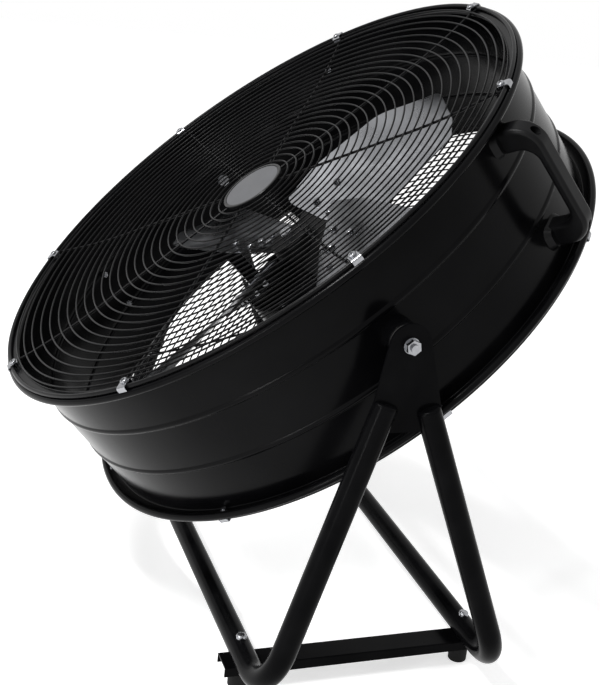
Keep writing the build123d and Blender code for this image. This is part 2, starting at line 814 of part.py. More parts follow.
def bell_at(face, side):
    """Build one end bell; side is 1 for the front bell and -1 for the rear one."""
    with BuildPart() as bell:
        with BuildSketch(Plane.XY.offset(face)):
            Circle(motor_radius)
        extrude(amount=-side * bell_depth)
        bell_ends = bell.faces().filter_by(Axis.Z).sort_by(Axis.Z)
        fillet(bell_ends[-1 if side > 0 else 0].edges(), bell_thickness)
        with BuildSketch(Plane.XY.offset(face - side * bell_thickness)):
            Circle(motor_radius - bell_thickness)
        extrude(amount=-side * bell_depth, mode=Mode.SUBTRACT)
        with BuildSketch(Plane.XY.offset(face - side * bell_thickness / 2)):
            Circle(bearing_radius + bearing_boss_wall)
            with stud_spots:
                Circle(stud_diameter)
        extrude(amount=-side * (bell_depth - bell_thickness / 2))
        with BuildSketch(Plane.XY.offset(face - side * bell_depth)):
            Circle(bearing_radius + seat_gap)
        extrude(amount=side * (bell_depth - bell_thickness), mode=Mode.SUBTRACT)
        with BuildSketch(Plane.XY.offset(face - side * bell_depth)):
            with stud_spots:
                Circle(stud_hole)
            if side > 0:
                Circle(shaft_radius + bell_shaft_gap)
        extrude(amount=side * bell_depth, mode=Mode.SUBTRACT)
    return bell.part


bearing_back = bell_depth - bell_thickness
with BuildPart() as motor_bearings:
    for face in (shell_front, shell_rear - bearing_back):
        with BuildSketch(Plane.XY.offset(face)):
            Circle(bearing_radius)
            Circle(shaft_radius + shaft_clearance, mode=Mode.SUBTRACT)
        extrude(amount=bearing_back - seat_gap)

with BuildPart() as motor_stator:
    with BuildSketch(Plane.XY.offset(stator_middle - stator_length / 2)):
        Circle(motor_radius - motor_shell_thickness - seat_gap)
        Circle(stator_bore / 2, mode=Mode.SUBTRACT)
        with stud_spots:
            Circle(stud_hole, mode=Mode.SUBTRACT)
    extrude(amount=stator_length)

with BuildPart() as motor_windings:
    for side in (1, -1):
        with BuildSketch(Plane.XY.offset(stator_middle + side * (stator_length / 2 + seat_gap))):
            Circle(stud_circle - stud_diameter)
            Circle(stator_bore / 2 + winding_inset, mode=Mode.SUBTRACT)
        extrude(amount=side * winding_height)
    ends = motor_windings.edges().group_by(Axis.Z)
    fillet(ends[0] + ends[-1], winding_height / 3)

with BuildPart() as motor_rotor:
    with BuildSketch(Plane.XY.offset(stator_middle - stator_length / 2)):
        Circle(stator_bore / 2 - air_gap)
        Circle(shaft_radius + shaft_clearance, mode=Mode.SUBTRACT)
    extrude(amount=stator_length)

with BuildPart() as motor_shaft:
    with BuildSketch(Plane.XY.offset(motor_rear + bell_thickness + seat_gap)):
        Circle(shaft_radius)
    extrude(amount=shaft_front - motor_rear - bell_thickness - seat_gap)
    chamfer(motor_shaft.edges().group_by(Axis.Z)[-1], edge_round)

with BuildPart() as motor_studs:
    with BuildSketch(Plane.XY.offset(motor_front)):
        with stud_spots:
            Circle(stud_diameter)
    extrude(amount=stud_nut_height / 2)
    with BuildSketch(Plane.XY.offset(motor_front)):
        with stud_spots:
            Circle(stud_diameter / 2)
    extrude(amount=-(motor_length + bar_size + stud_nut_height + thread_past_nut))

with BuildPart() as stud_nuts:
    with BuildSketch(Plane.XY.offset(bar_back - seat_gap)):
        with stud_spots:
            RegularPolygon(hex_radius(stud_nut_flats), 6)
            Circle(stud_diameter / 2 + seat_gap, mode=Mode.SUBTRACT)
    extrude(amount=-stud_nut_height)

# ======================================================================
# Motor bars: two square tubes across the drum, with the motor's studs through them
# ======================================================================
def bar_at(height):
    """Build one square-tube bar, cut to the drum's inside and welded at both ends."""
    with BuildPart() as bar:
        with BuildSketch(Plane.YZ):
            with Locations((height, bar_back + bar_size / 2)):
                RectangleRounded(bar_size, bar_size, bar_wall)
                Rectangle(bar_size - 2 * bar_wall, bar_size - 2 * bar_wall, mode=Mode.SUBTRACT)
        extrude(amount=wall_radius, both=True)
        with BuildSketch(Plane.XY.offset(bar_back)):
            Circle(wall_inside - bar_weld_gap)
        extrude(amount=bar_size - seat_gap, mode=Mode.INTERSECT)
        with BuildSketch(Plane.XY.offset(bar_back)):
            with stud_spots:
                Circle(stud_hole)
        extrude(amount=bar_size, mode=Mode.SUBTRACT)
    return bar.part


# ======================================================================
# Blades: twisted, cambered sheet, riveted to the arms of a spider
# ======================================================================


def pitch_slope(radius):
    """Rise of the blade's chord towards the front for each millimetre round the drum."""
    share = (radius - root_station) / (blade_radius - root_station)
    return tan(radians(root_pitch + (tip_pitch - root_pitch) * share))


def chord_height(radius, across, drop=0.0):
    """Height of the blade's back face in front of the pivot axis."""
    middle = (chord_lead + chord_trail) / 2
    half = (chord_lead - chord_trail) / 2
    belly = blade_camber * (1 - ((across - middle) / half) ** 2)
    return blade_axial + across * pitch_slope(radius) - belly - drop


def sheet_face(radius, thickness, drop):
    """Draw the cambered section of a sheet at one distance from the axis."""
    ends = (chord_trail, (chord_trail + chord_lead) / 2, chord_lead)
    with BuildSketch(Plane(origin=(radius, 0, 0), x_dir=(0, 1, 0), z_dir=(1, 0, 0))) as section:
        with BuildLine():
            low = [(across, chord_height(radius, across, drop)) for across in ends]
            high = [(across, height + thickness) for across, height in low]
            ThreePointArc(*low)
            ThreePointArc(*high)
            Line(low[0], high[0])
            Line(low[-1], high[-1])
        make_face()
    return section.sketch


with BuildPart() as blade:
    loft([sheet_face(station, blade_thickness, 0) for station in loft_stations])
    with BuildSketch(Plane.XY.offset(blade_axial)) as blade_outline:
        with BuildLine():
            Polyline(*[(out, along) for out, along, _ in blade_corners], close=True)
        make_face()
        for out, along, corner_round in blade_corners:
            corner = blade_outline.vertices().sort_by_distance((out, along, blade_axial))[0]
            fillet(corner, corner_round)
    extrude(amount=blade_radius / 2, both=True, mode=Mode.INTERSECT)
    with BuildSketch(Plane.XY.offset(blade_axial)):
        with Locations(*rivet_places):
            Circle(rivet_diameter / 2 + rivet_gap)
    extrude(amount=blade_radius / 2, both=True, mode=Mode.SUBTRACT)

with BuildPart() as arm:
    loft([sheet_face(station, arm_thickness, arm_gap + arm_thickness) for station in loft_stations[:3]])
    with BuildSketch(Plane.XY.offset(blade_axial)) as outline:
        with BuildLine():
            Polyline(*arm_outline, close=True)
        make_face()
        fillet(outline.vertices().sort_by(Axis.X)[2:], arm_round)
    extrude(amount=blade_radius / 2, both=True, mode=Mode.INTERSECT)

blade_angles = [first_blade_angle - 360 / blade_count * i for i in range(blade_count)]
blade_planes = [Plane(origin=(0, 0, 0), x_dir=outward(angle), z_dir=(0, 0, 1)) for angle in blade_angles]
hub_low = blade_axial - hub_back
set_screw_height = blade_axial - set_screw_drop
set_screw_angle = first_blade_angle + 180 / blade_count

with BuildPart() as fan_spider:
    with BuildSketch(Plane.XY.offset(hub_low)):
        Circle(hub_diameter / 2)
    extrude(amount=hub_front + hub_back)
    for plane in blade_planes:
        add(arm.part.moved(plane.location))
    with BuildSketch(Plane.XY.offset(hub_low)):
        Circle(shaft_radius + shaft_clearance)
    extrude(amount=hub_front + hub_back, mode=Mode.SUBTRACT)
    with BuildSketch(wall_plane(set_screw_angle, set_screw_height)):
        Circle(set_screw_diameter / 2 + seat_gap)
    extrude(amount=hub_diameter, mode=Mode.SUBTRACT)
    for plane in blade_planes:
        with BuildSketch(plane):
            with Locations(*rivet_places):
                Circle(rivet_diameter / 2 + rivet_gap)
        extrude(amount=blade_radius / 2, both=True, mode=Mode.SUBTRACT)

with BuildPart() as hub_set_screw:
    with BuildSketch(wall_plane(set_screw_angle, set_screw_height, shaft_radius + seat_gap)):
        Circle(set_screw_diameter / 2)
    extrude(amount=hub_diameter / 2 - shaft_radius - set_screw_inset)
    with BuildSketch(wall_plane(set_screw_angle, set_screw_height, hub_diameter / 2 - set_screw_inset)):
        RegularPolygon(set_screw_diameter / 4, 6)
    extrude(amount=-set_screw_diameter / 2, mode=Mode.SUBTRACT)

with BuildPart() as blade_rivets:
    for plane in blade_planes:
        for across, along in rivet_places:
            face = chord_height(across, along) + blade_thickness + rivet_face_gap
            back = chord_height(across, along) - arm_gap - arm_thickness - rivet_back_gap
            slope = pitch_slope(across) * rivet_head_diameter / 2
            with BuildSketch(plane.offset(back - slope)):
                with Locations((across, along)):
                    Circle(rivet_diameter / 2)
            extrude(amount=face - back + 2 * slope)
            with BuildSketch(plane.offset(face + slope)):
                with Locations((across, along)):
                    Circle(rivet_head_diameter / 2)
            extrude(amount=rivet_head_height)
            with BuildSketch(plane.offset(back - slope)):
                with Locations((across, along)):
                    Circle(rivet_head_diameter / 2)
            extrude(amount=-rivet_head_height)
    head_length = pi * rivet_head_diameter
    ends = blade_rivets.edges().filter_by(lambda edge: abs(edge.length - head_length) < clip_gap)
    for plane in blade_planes:
        for across, along in rivet_places:
            middle = plane.from_local_coords((across, along, chord_height(across, along)))
            rims = ends.sort_by_distance(middle)[:4].sort_by(Axis.Z)
            fillet([rims[0], rims[-1]], rivet_head_height * head_round_share)

# ======================================================================
# Stand: two bent tubes, two side plates, two rails and four rubber feet
# ======================================================================
run_height = foot_height + rail_depth + seat_gap + tube_diameter / 2
plate_foot_height = pivot_height - plate_foot_drop


def plate_face():
    """Draw a side plate's outline, its apex round the tilt axis."""
    with Locations((0, pivot_height)):
        Circle(plate_apex_radius)
    with Locations((plate_foot_front, plate_foot_height), (plate_foot_back, plate_foot_height)):
        Circle(plate_corner_radius)
    make_hull()


def plate_at(side):
    """Build one side plate."""
    with BuildPart() as plate:
        with BuildSketch(Plane.YZ.offset(side * plate_middle)):
            plate_face()
            with Locations((0, pivot_height)):
                Circle(bolt_hole_radius, mode=Mode.SUBTRACT)
        extrude(amount=plate_thickness / 2, both=True)
    return plate.part


with BuildPart() as plate_slots:
    for side in (1, -1):
        with BuildSketch(Plane.YZ.offset(side * plate_middle)):
            plate_face()
            offset(amount=plate_slot_gap)
        extrude(amount=plate_thickness / 2 + plate_slot_gap, both=True)

bolt_ends = {"front": front_run, "rear": rear_run}
leg_tops = {"front": pivot_height - front_leg_drop, "rear": pivot_height - rear_leg_drop}


with BuildPart() as leg_cap:
    Cylinder(tube_diameter / 2, tube_cap_height, align=(Align.CENTER, Align.CENTER, Align.MIN))
    fillet(leg_cap.edges().group_by(Axis.Z)[-1], tube_cap_round)


def tube_at(place):
    """Build the front or rear tube: along the floor, bent up at both ends to the plates."""
    run = bolt_ends[place]
    lean = Vector(0, -run, pivot_height - run_height).normalized()
    tube_plane = Plane(origin=(0, run, run_height), x_dir=(1, 0, 0), z_dir=Vector(1, 0, 0).cross(lean))
    leg_length = (leg_tops[place] - run_height) / lean.Z
    with BuildPart() as tube:
        with BuildLine(tube_plane) as path:
            FilletPolyline(
                (-plate_middle, leg_length),
                (-plate_middle, 0),
                (plate_middle, 0),
                (plate_middle, leg_length),
                radius=tube_bend_radius,
            )
        with BuildSketch(Plane(origin=path.line @ 0, z_dir=path.line % 0)):
            Circle(tube_diameter / 2)
            Circle(tube_diameter / 2 - tube_wall, mode=Mode.SUBTRACT)
        sweep(path=path.wire())
        for side in (1, -1):
            leg_end = tube_plane.from_local_coords((side * plate_middle, leg_length))
            add(leg_cap.part.moved(Plane(origin=leg_end, z_dir=lean).location))
        add(plate_slots.part, mode=Mode.SUBTRACT)
        with BuildSketch(Plane.XY):
            with Locations((rail_middle, run), (-rail_middle, run)):
                Circle(tube_bolt_diameter / 2 + tube_bolt_clearance)
        extrude(amount=run_height + tube_diameter, mode=Mode.SUBTRACT)
    return tube.part


def rail_at(side):
    """Build one rail, a channel open downwards, under both tubes."""
    with BuildPart() as rail:
        with BuildSketch(Plane.XZ.offset(-rail_back)):
            with Locations((side * rail_middle, foot_height)):
                Rectangle(rail_width, rail_depth, align=(Align.CENTER, Align.MIN))
                Rectangle(
                    rail_width - 2 * rail_wall,
                    rail_depth - rail_wall,
                    align=(Align.CENTER, Align.MIN),
                    mode=Mode.SUBTRACT,
                )
        extrude(amount=rail_back - rail_front)
        fillet(rail.edges().filter_by(Axis.Y).group_by(Axis.Z)[-1], rail_wall)
        with BuildSketch(Plane.XY):
            with Locations(*[(side * rail_middle, run) for run in bolt_ends.values()]):
                Circle(tube_bolt_diameter / 2 + tube_bolt_clearance)
        extrude(amount=foot_height + 2 * rail_depth, mode=Mode.SUBTRACT)
    return rail.part


bolt_spots = [(side * rail_middle, run) for side in (1, -1) for run in bolt_ends.values()]
foot_top = foot_height + rail_depth - rail_wall - seat_gap
with BuildPart() as rubber_feet:
    with BuildSketch(Plane.XY):
        with Locations(*bolt_spots):
            Circle(foot_diameter / 2)
    extrude(amount=foot_top)
    fillet(rubber_feet.edges().group_by(Axis.Z)[0], foot_round)
    with BuildSketch(Plane.XY):
        with Locations(*bolt_spots):
            Circle(foot_pocket_diameter / 2)
    extrude(amount=foot_pocket_depth, mode=Mode.SUBTRACT)
    with BuildSketch(Plane.XY):
        with Locations(*bolt_spots):
            Circle(tube_bolt_diameter / 2 + tube_bolt_clearance)
    extrude(amount=foot_top, mode=Mode.SUBTRACT)

tube_top = run_height + tube_diameter / 2 + seat_gap
with BuildPart() as tube_bolts:
    with BuildSketch(Plane.XY.offset(tube_top)):
        with Locations(*bolt_spots):
            Circle(tube_bolt_head / 2)
    extrude(amount=tube_bolt_head_height)
    fillet(tube_bolts.edges().group_by(Axis.Z)[-1], tube_bolt_head_height * head_round_share)
    with BuildSketch(Plane.XY.offset(tube_top)):
        with Locations(*bolt_spots):
            Circle(tube_bolt_diameter / 2)
    extrude(amount=-(tube_top - foot_pocket_depth + tube_nut_height + thread_past_nut))

with BuildPart() as tube_nuts:
    with BuildSketch(Plane.XY.offset(foot_pocket_depth - seat_gap)):
        with Locations(*bolt_spots):
            RegularPolygon(hex_radius(tube_nut_flats), 6)
            Circle(tube_bolt_diameter / 2 + seat_gap, mode=Mode.SUBTRACT)
    extrude(amount=-tube_nut_height)

# ======================================================================
# Holes in the drum wall for the handles and the switch box, then all the pieces
# ======================================================================
with BuildPart() as wall_drill:
    for angle in handle_angles.values():
        for axial in handle_screw_places:
            with BuildSketch(wall_plane(angle, axial, wall_inside - handle_nut_height)):
                Circle(handle_screw_diameter / 2 + clip_gap)
            extrude(amount=handle_recess_floor)
    for axial in box_screw_places:
        with BuildSketch(wall_plane(box_angle, axial, wall_inside - handle_nut_height)):
            Circle(box_screw_diameter / 2 + clip_gap)
        extrude(amount=handle_recess_floor)

with drum_shell:
    add(clip_drill.part, mode=Mode.SUBTRACT)
    add(wall_drill.part, mode=Mode.SUBTRACT)


def clip_rings(piece):
    """Repeat a clip piece round both rims."""
    rims = (Plane.XY.offset(front_face), Plane(origin=(0, 0, rear_face), x_dir=(1, 0, 0), z_dir=(0, 0, -1)))
    with BuildPart() as rings:
        for rim in rims:
            with Locations(rim):
                with PolarLocations(0, clip_count):
                    add(piece)
    return rings.part


def at_drum(piece, name):
    """Save a piece that was drawn in the drum's frame."""
    save(piece, name, drum_plane)


at_drum(drum_shell.part, "drum_shell")
at_drum(guard.part.moved(front_guard_plane.location), "front_guard")
at_drum(guard.part.moved(rear_guard_plane.location), "rear_guard")
at_drum(badge_bezel.part, "badge_bezel")
at_drum(badge_disc.part, "badge_disc")
at_drum(clip_rings(guard_clip.part), "guard_clips")
at_drum(clip_rings(clip_screw.part), "clip_screws")
at_drum(clip_rings(clip_nut.part), "clip_nuts")
for name, handle in handles.items():
    at_drum(handle, name)
at_drum(handle_screws.part, "handle_screws")
at_drum(handle_nuts.part, "handle_nuts")
at_drum(switch_box.part, "switch_box")
at_drum(switch_box_cover.part, "switch_box_cover")
at_drum(box_screws.part, "box_screws")
at_drum(box_nuts.part, "box_nuts")
at_drum(rotary_switch.part, "rotary_switch")
at_drum(switch_knob.part, "switch_knob")
at_drum(capacitor.part, "capacitor")
at_drum(cord_gland.part, "cord_gland")
at_drum(boss_at(1), "right_pivot_boss")
at_drum(boss_at(-1), "left_pivot_boss")
at_drum(disc_at(1), "right_friction_disc")
at_drum(disc_at(-1), "left_friction_disc")
at_drum(pivot_bolts.part, "pivot_bolts")
at_drum(pivot_washers.part, "pivot_washers")
at_drum(pivot_nuts.part, "pivot_nuts")
at_drum(motor_shell.part, "motor_shell")
at_drum(bell_at(motor_front, 1), "motor_front_bell")
at_drum(bell_at(motor_rear, -1), "motor_rear_bell")
at_drum(motor_bearings.part, "motor_bearings")
at_drum(motor_stator.part, "motor_stator")
at_drum(motor_windings.part, "motor_windings")
at_drum(motor_rotor.part, "motor_rotor")
at_drum(motor_shaft.part, "motor_shaft")
at_drum(motor_studs.part, "motor_studs")
at_drum(stud_nuts.part, "stud_nuts")
at_drum(bar_at(stud_y), "upper_motor_bar")
at_drum(bar_at(-stud_y), "lower_motor_bar")
for number, plane in enumerate(blade_planes, start=1):
    at_drum(blade.part.moved(plane.location), f"blade_{number}")
at_drum(fan_spider.part, "fan_spider")
at_drum(blade_rivets.part, "blade_rivets")
at_drum(hub_set_screw.part, "hub_set_screw")
save(plate_at(1), "right_side_plate")
save(plate_at(-1), "left_side_plate")
save(tube_at("front"), "front_tube")
save(tube_at("rear"), "rear_tube")
save(rail_at(1), "right_rail")
save(rail_at(-1), "left_rail")
save(rubber_feet.part, "rubber_feet")
save(tube_bolts.part, "tube_bolts")
save(tube_nuts.part, "tube_nuts")
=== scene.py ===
"""A drum fan on a bent-tube stand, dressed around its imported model.

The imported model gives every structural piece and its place. This script gives each
piece its finish, and draws again, rounder, the pieces whose roundness the eye reads
first: the drum's spun wall, the two wire guards and the stand's tubes.
"""
import json
import logging
import math
from abc import ABC, abstractmethod
from collections.abc import Callable, Iterable, Sequence
from dataclasses import dataclass, field
from enum import Enum

import bpy
from mathutils import Matrix, Vector


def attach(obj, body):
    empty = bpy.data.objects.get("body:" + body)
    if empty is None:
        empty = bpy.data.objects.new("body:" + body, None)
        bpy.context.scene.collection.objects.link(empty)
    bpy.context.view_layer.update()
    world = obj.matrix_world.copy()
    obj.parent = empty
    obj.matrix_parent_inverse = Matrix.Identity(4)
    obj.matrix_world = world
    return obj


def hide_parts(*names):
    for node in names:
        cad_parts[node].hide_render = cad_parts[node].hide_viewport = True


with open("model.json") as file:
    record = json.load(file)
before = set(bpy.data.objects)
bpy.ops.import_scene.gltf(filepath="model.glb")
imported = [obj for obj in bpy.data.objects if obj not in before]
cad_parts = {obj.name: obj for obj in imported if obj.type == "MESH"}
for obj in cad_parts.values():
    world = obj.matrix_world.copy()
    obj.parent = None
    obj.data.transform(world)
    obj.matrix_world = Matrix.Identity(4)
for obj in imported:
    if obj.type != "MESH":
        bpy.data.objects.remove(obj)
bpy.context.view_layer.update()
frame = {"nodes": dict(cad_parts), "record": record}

MM = 0.001
WHITE = "FFFFFF"

# The sRGB curve: a straight foot up to the knee, and a power curve above it.
SRGB_KNEE = 0.04045
SRGB_FOOT = 12.92
SRGB_OFFSET = 0.055
SRGB_POWER = 2.4

# Octaves of noise in a finish's soft patches and in its fine relief.
PATCH_OCTAVES = 5.0
RELIEF_OCTAVES = 3.0
# Nearly all values of a noise lie between these two.
NOISE_LOW = 0.3
NOISE_HIGH = 0.7
# Where in the patches the paler colour starts and is full, and how much paler it is.
PALE_START = 0.35
PALE_FULL = 0.75
PALE_GAIN = 1.25
PALE_RISE = 0.002

# Two directions whose cross product is shorter than this count as one, in metres squared.
STRAIGHT = 1e-9

log = logging.getLogger("drum_fan")

Point = tuple[float, float, float]
Flat = tuple[float, float]


# ----------------------------------------------------------------------
# Colour and nodes
# ----------------------------------------------------------------------
def linear(hex_colour: str) -> tuple[float, float, float, float]:
    """Turn an sRGB hex colour into the linear colour that a shader reads.

    Args:
        hex_colour: Six hex digits, such as "1A1A1C".

    Returns:
        Red, green, blue and an alpha of 1, in linear light.
    """
    parts = [int(hex_colour[i : i + 2], 16) / 255 for i in (0, 2, 4)]
    red, green, blue = [
        part / SRGB_FOOT
        if part <= SRGB_KNEE
        else ((part + SRGB_OFFSET) / (1 + SRGB_OFFSET)) ** SRGB_POWER
        for part in parts
    ]
    return red, green, blue, 1.0


def add_node(
    tree: bpy.types.NodeTree,
    kind: str,
    links: dict[str | int, bpy.types.NodeSocket] | None = None,
    **settings: object,
) -> bpy.types.Node:
    """Add one node, set its values and link its inputs.

    Args:
        tree: The node tree that takes the node.
        kind: The node's Blender type, such as "ShaderNodeTexNoise".
        links: Input name or number to the output socket that feeds it.
        settings: Node attributes, or input values under their own names with "_" for a space.

    Returns:
        The new node.
    """
    node = tree.nodes.new(kind)
    for key, value in settings.items():
        if hasattr(node, key):
            setattr(node, key, value)
        else:
            node.inputs[key.replace("_", " ")].default_value = value
    for key, output in (links or {}).items():
        tree.links.new(output, node.inputs[key])
    return node


# ----------------------------------------------------------------------
# Finishes
# ----------------------------------------------------------------------
class Grain(Enum):
    """The way a finish's relief runs, as the pattern's scale along each axis.

    A scale of 0.04 draws the pattern out to 25 times its width, and 0.05 to 20 times.
    """

    EVEN = (1.0, 1.0, 1.0)
    ALONG_X = (0.04, 1.0, 1.0)
    ALONG_Z = (1.0, 1.0, 0.05)


@dataclass(frozen=True)
class Finish(ABC):
    """One real finish, with the sizes of its patterns in millimetres.

    Attributes:
        name: The material's name.
        colour: Its colour, as an sRGB hex value.
        roughness: The middle of its roughness.
        spread: How far the roughness varies over the patches.
        patch: Size of the soft patches in colour and roughness.
        relief: Size of the fine relief.
        depth: Height of that relief.
        grain: The way the relief runs.
    """

    name: str
    colour: str
    roughness: float
    spread: float = 0.06
    patch: float = 60.0
    relief: float = 1.0
    depth: float = 0.01
    grain: Grain = Grain.EVEN

    @abstractmethod
    def dress(self, shader: bpy.types.Node) -> None:
        """Set what is particular to this finish on its shader."""

    def material(self) -> bpy.types.Material:
        """Build the finish once, and give the same material after that.

        Returns:
            The material, with its colour and roughness uneven at a real scale.
        """
        made = bpy.data.materials.get(self.name)
        if made:
            return made
        made = bpy.data.materials.new(self.name)
        made.use_nodes = True
        tree = made.node_tree
        shader = tree.nodes["Principled BSDF"]
        place = add_node(tree, "ShaderNodeTexCoord").outputs["Object"]
        patches = add_node(
            tree,
            "ShaderNodeTexNoise",
            {"Vector": place},
            Scale=1 / (self.patch * MM),
            Detail=PATCH_OCTAVES,
        ).outputs["Fac"]
        self.link_colour(tree, shader, patches)
        self.link_roughness(tree, shader, patches)
        self.link_relief(tree, shader, place)
        self.dress(shader)
        return made

    def link_colour(
        self, tree: bpy.types.NodeTree, shader: bpy.types.Node, patches: bpy.types.NodeSocket
    ) -> None:
        """Mix the colour with a slightly paler one in soft patches.

        Args:
            tree: The material's tree.
            shader: The shader that takes the colour.
            patches: A soft pattern from 0 to 1.
        """
        colour = linear(self.colour)
        paler = [min(channel * PALE_GAIN + PALE_RISE, 1.0) for channel in colour[:3]]
        ramp = add_node(tree, "ShaderNodeValToRGB", {"Fac": patches})
        start, full = ramp.color_ramp.elements
        start.position, start.color = PALE_START, colour
        full.position, full.color = PALE_FULL, (*paler, 1.0)
        tree.links.new(ramp.outputs["Color"], shader.inputs["Base Color"])

    def link_roughness(
        self, tree: bpy.types.NodeTree, shader: bpy.types.Node, patches: bpy.types.NodeSocket
    ) -> None:
        """Spread the roughness about its middle over the same patches.

        Args:
            tree: The material's tree.
            shader: The shader that takes the roughness.
            patches: A soft pattern from 0 to 1.
        """
        rough = add_node(
            tree,
            "ShaderNodeMapRange",
            {"Value": patches},
            From_Min=NOISE_LOW,
            From_Max=NOISE_HIGH,
            To_Min=self.roughness - self.spread / 2,
            To_Max=self.roughness + self.spread / 2,
        )
        tree.links.new(rough.outputs["Result"], shader.inputs["Roughness"])

    def link_relief(
        self, tree: bpy.types.NodeTree, shader: bpy.types.Node, place: bpy.types.NodeSocket
    ) -> None:
        """Raise the fine relief, stretched the way the grain runs.

        Args:
            tree: The material's tree.
            shader: The shader that takes the relief.
            place: The place on the object, in metres.
        """
        stretched = add_node(tree, "ShaderNodeMapping", {"Vector": place}, Scale=self.grain.value)
        fine = add_node(
            tree,
            "ShaderNodeTexNoise",
            {"Vector": stretched.outputs["Vector"]},
            Scale=1 / (self.relief * MM),
            Detail=RELIEF_OCTAVES,
        )
        bump = add_node(
            tree,
            "ShaderNodeBump",
            {"Height": fine.outputs["Fac"]},
            Strength=1.0,
            Distance=self.depth * MM,
        )
        tree.links.new(bump.outputs["Normal"], shader.inputs["Normal"])


@dataclass(frozen=True)
class Paint(Finish):
    """Baked enamel on steel: smooth, hard and reflecting, with a faint orange peel.

    Attributes:
        ior: The film's refraction.
        reflection: How strongly the film reflects. It is low on every black piece, as
            the floor and the studio are white in reflections and would turn it grey.
    """

    ior: float = 1.5
    reflection: float = 0.5

    def dress(self, shader: bpy.types.Node) -> None:
        """Give the paint film's reflection."""
        shader.inputs["IOR"].default_value = self.ior
        shader.inputs["Specular IOR Level"].default_value = self.reflection


@dataclass(frozen=True)
class Metal(Finish):
    """Bare or plated metal: coloured reflection, uneven where it was rolled or plated.

    Attributes:
        streak: How much longer the highlights are across the lines of a streaked metal.
    """

    streak: float = 0.0

    def dress(self, shader: bpy.types.Node) -> None:
        """Make the surface metallic, with longer highlights on streaked metal."""
        shader.inputs["Metallic"].default_value = 1.0
        shader.inputs["Anisotropic"].default_value = self.streak


@dataclass(frozen=True)
class Plastic(Finish):
    """Moulded plastic or rubber, with a spark-eroded or matt grain.

    Attributes:
        ior: The plastic's refraction.
        reflection: How strongly it reflects, low on black pieces as for the enamel.
    """

    ior: float = 1.46
    reflection: float = 0.5

    def dress(self, shader: bpy.types.Node) -> None:
        """Give the plastic's reflection."""
        shader.inputs["IOR"].default_value = self.ior
        shader.inputs["Specular IOR Level"].default_value = self.reflection


# Gloss black baked enamel on sheet: deep black, sharp dark reflections, a faint orange
# peel of 2.2 mm, as sprayed.
GLOSS_ENAMEL = Paint(
    "gloss_black_enamel",
    "050506",
    roughness=0.19,
    spread=0.06,
    patch=90.0,
    relief=2.2,
    depth=0.008,
    reflection=0.048,
)
# The same enamel on tube and plate, from a thicker dip: softer highlights along the tube.
TUBE_ENAMEL = Paint(
    "tube_black_enamel",
    "050506",
    roughness=0.22,
    spread=0.06,
    patch=40.0,
    relief=1.6,
    depth=0.01,
    reflection=0.025,
)
# Dipped enamel on welded wire: satin, with soft paler patches.
WIRE_ENAMEL = Paint(
    "wire_black_enamel",
    "070708",
    roughness=0.30,
    spread=0.08,
    patch=30.0,
    relief=1.0,
    depth=0.01,
    reflection=0.08,
)
# Enamel over pressed steel arms, duller than the drum's.
ARM_ENAMEL = Paint(
    "arm_black_enamel",
    "0A0A0B",
    roughness=0.42,
    spread=0.08,
    patch=25.0,
    relief=1.2,
    depth=0.015,
    reflection=0.1,
)
# Bright rolled aluminium sheet: fine streaks one way, clear but soft reflections. Real
# rolling lines are near 0.1 mm, and are drawn 0.8 mm wide to show.
ROLLED_ALUMINIUM = Metal(
    "rolled_aluminium",
    "8A8B8E",
    roughness=0.30,
    spread=0.14,
    patch=45.0,
    relief=0.8,
    depth=0.012,
    grain=Grain.ALONG_X,
    streak=0.4,
)
# Bright zinc plate on screws, clips and washers: greyish white, faintly mottled. The
# mottle is drawn at 0.5 mm, coarser than the crystals of real plate, to show.
ZINC_PLATE = Metal(
    "bright_zinc_plate",
    "8E8F92",
    roughness=0.20,
    spread=0.14,
    patch=3.0,
    relief=0.5,
    depth=0.03,
)
# Ground steel of shafts and bearing rings: fine lines, which are drawn at 0.3 mm, coarser
# than the grit that makes them, to show.
GROUND_STEEL = Metal(
    "ground_steel",
    "A9AAAD",
    roughness=0.22,
    spread=0.08,
    patch=10.0,
    relief=0.3,
    depth=0.006,
    grain=Grain.ALONG_Z,
    streak=0.4,
)
# Stacked electrical steel: dull grey edges of sheets 0.5 mm thick.
STACKED_STEEL = Metal(
    "stacked_electrical_steel",
    "6E7074",
    roughness=0.5,
    spread=0.10,
    patch=8.0,
    relief=0.5,
    depth=0.04,
    grain=Grain.ALONG_Z,
)
# Enamelled copper wire of 0.7 mm: warm brown under a clear varnish.
COPPER_WIRE = Metal(
    "enamelled_copper",
    "8A4A28",
    roughness=0.35,
    spread=0.12,
    patch=5.0,
    relief=0.7,
    depth=0.08,
)
# Brushed plate of the badge: grey, with fine straight lines, which are drawn at 0.25 mm,
# coarser than a brush leaves them, to show.
BADGE_PLATE = Metal(
    "brushed_badge_plate",
    "5C5D60",
    roughness=0.34,
    spread=0.08,
    patch=20.0,
    relief=0.25,
    depth=0.008,
    grain=Grain.ALONG_X,
    streak=0.4,
)
# Black ABS of handles, switch box and cover: a spark-eroded grain that breaks up the
# highlights. Real grain is near 0.2 mm, and is drawn at 0.6 mm to show.
BLACK_ABS = Plastic(
    "grained_black_abs",
    "070708",
    roughness=0.38,
    spread=0.10,
    patch=30.0,
    relief=0.6,
    depth=0.02,
    reflection=0.12,
)
# Smooth black ABS of the knob and the badge ring: an even, soft shine.
SMOOTH_ABS = Plastic(
    "smooth_black_abs",
    "0A0A0B",
    roughness=0.30,
    spread=0.06,
    patch=15.0,
    relief=0.8,
    depth=0.01,
    reflection=0.2,
)
# White polypropylene of the capacitor's case: waxy and slightly yellow.
WHITE_PP = Plastic(
    "white_polypropylene",
    "C9C8C2",
    roughness=0.40,
    spread=0.08,
    patch=20.0,
    relief=0.9,
    depth=0.02,
    ior=1.49,
)
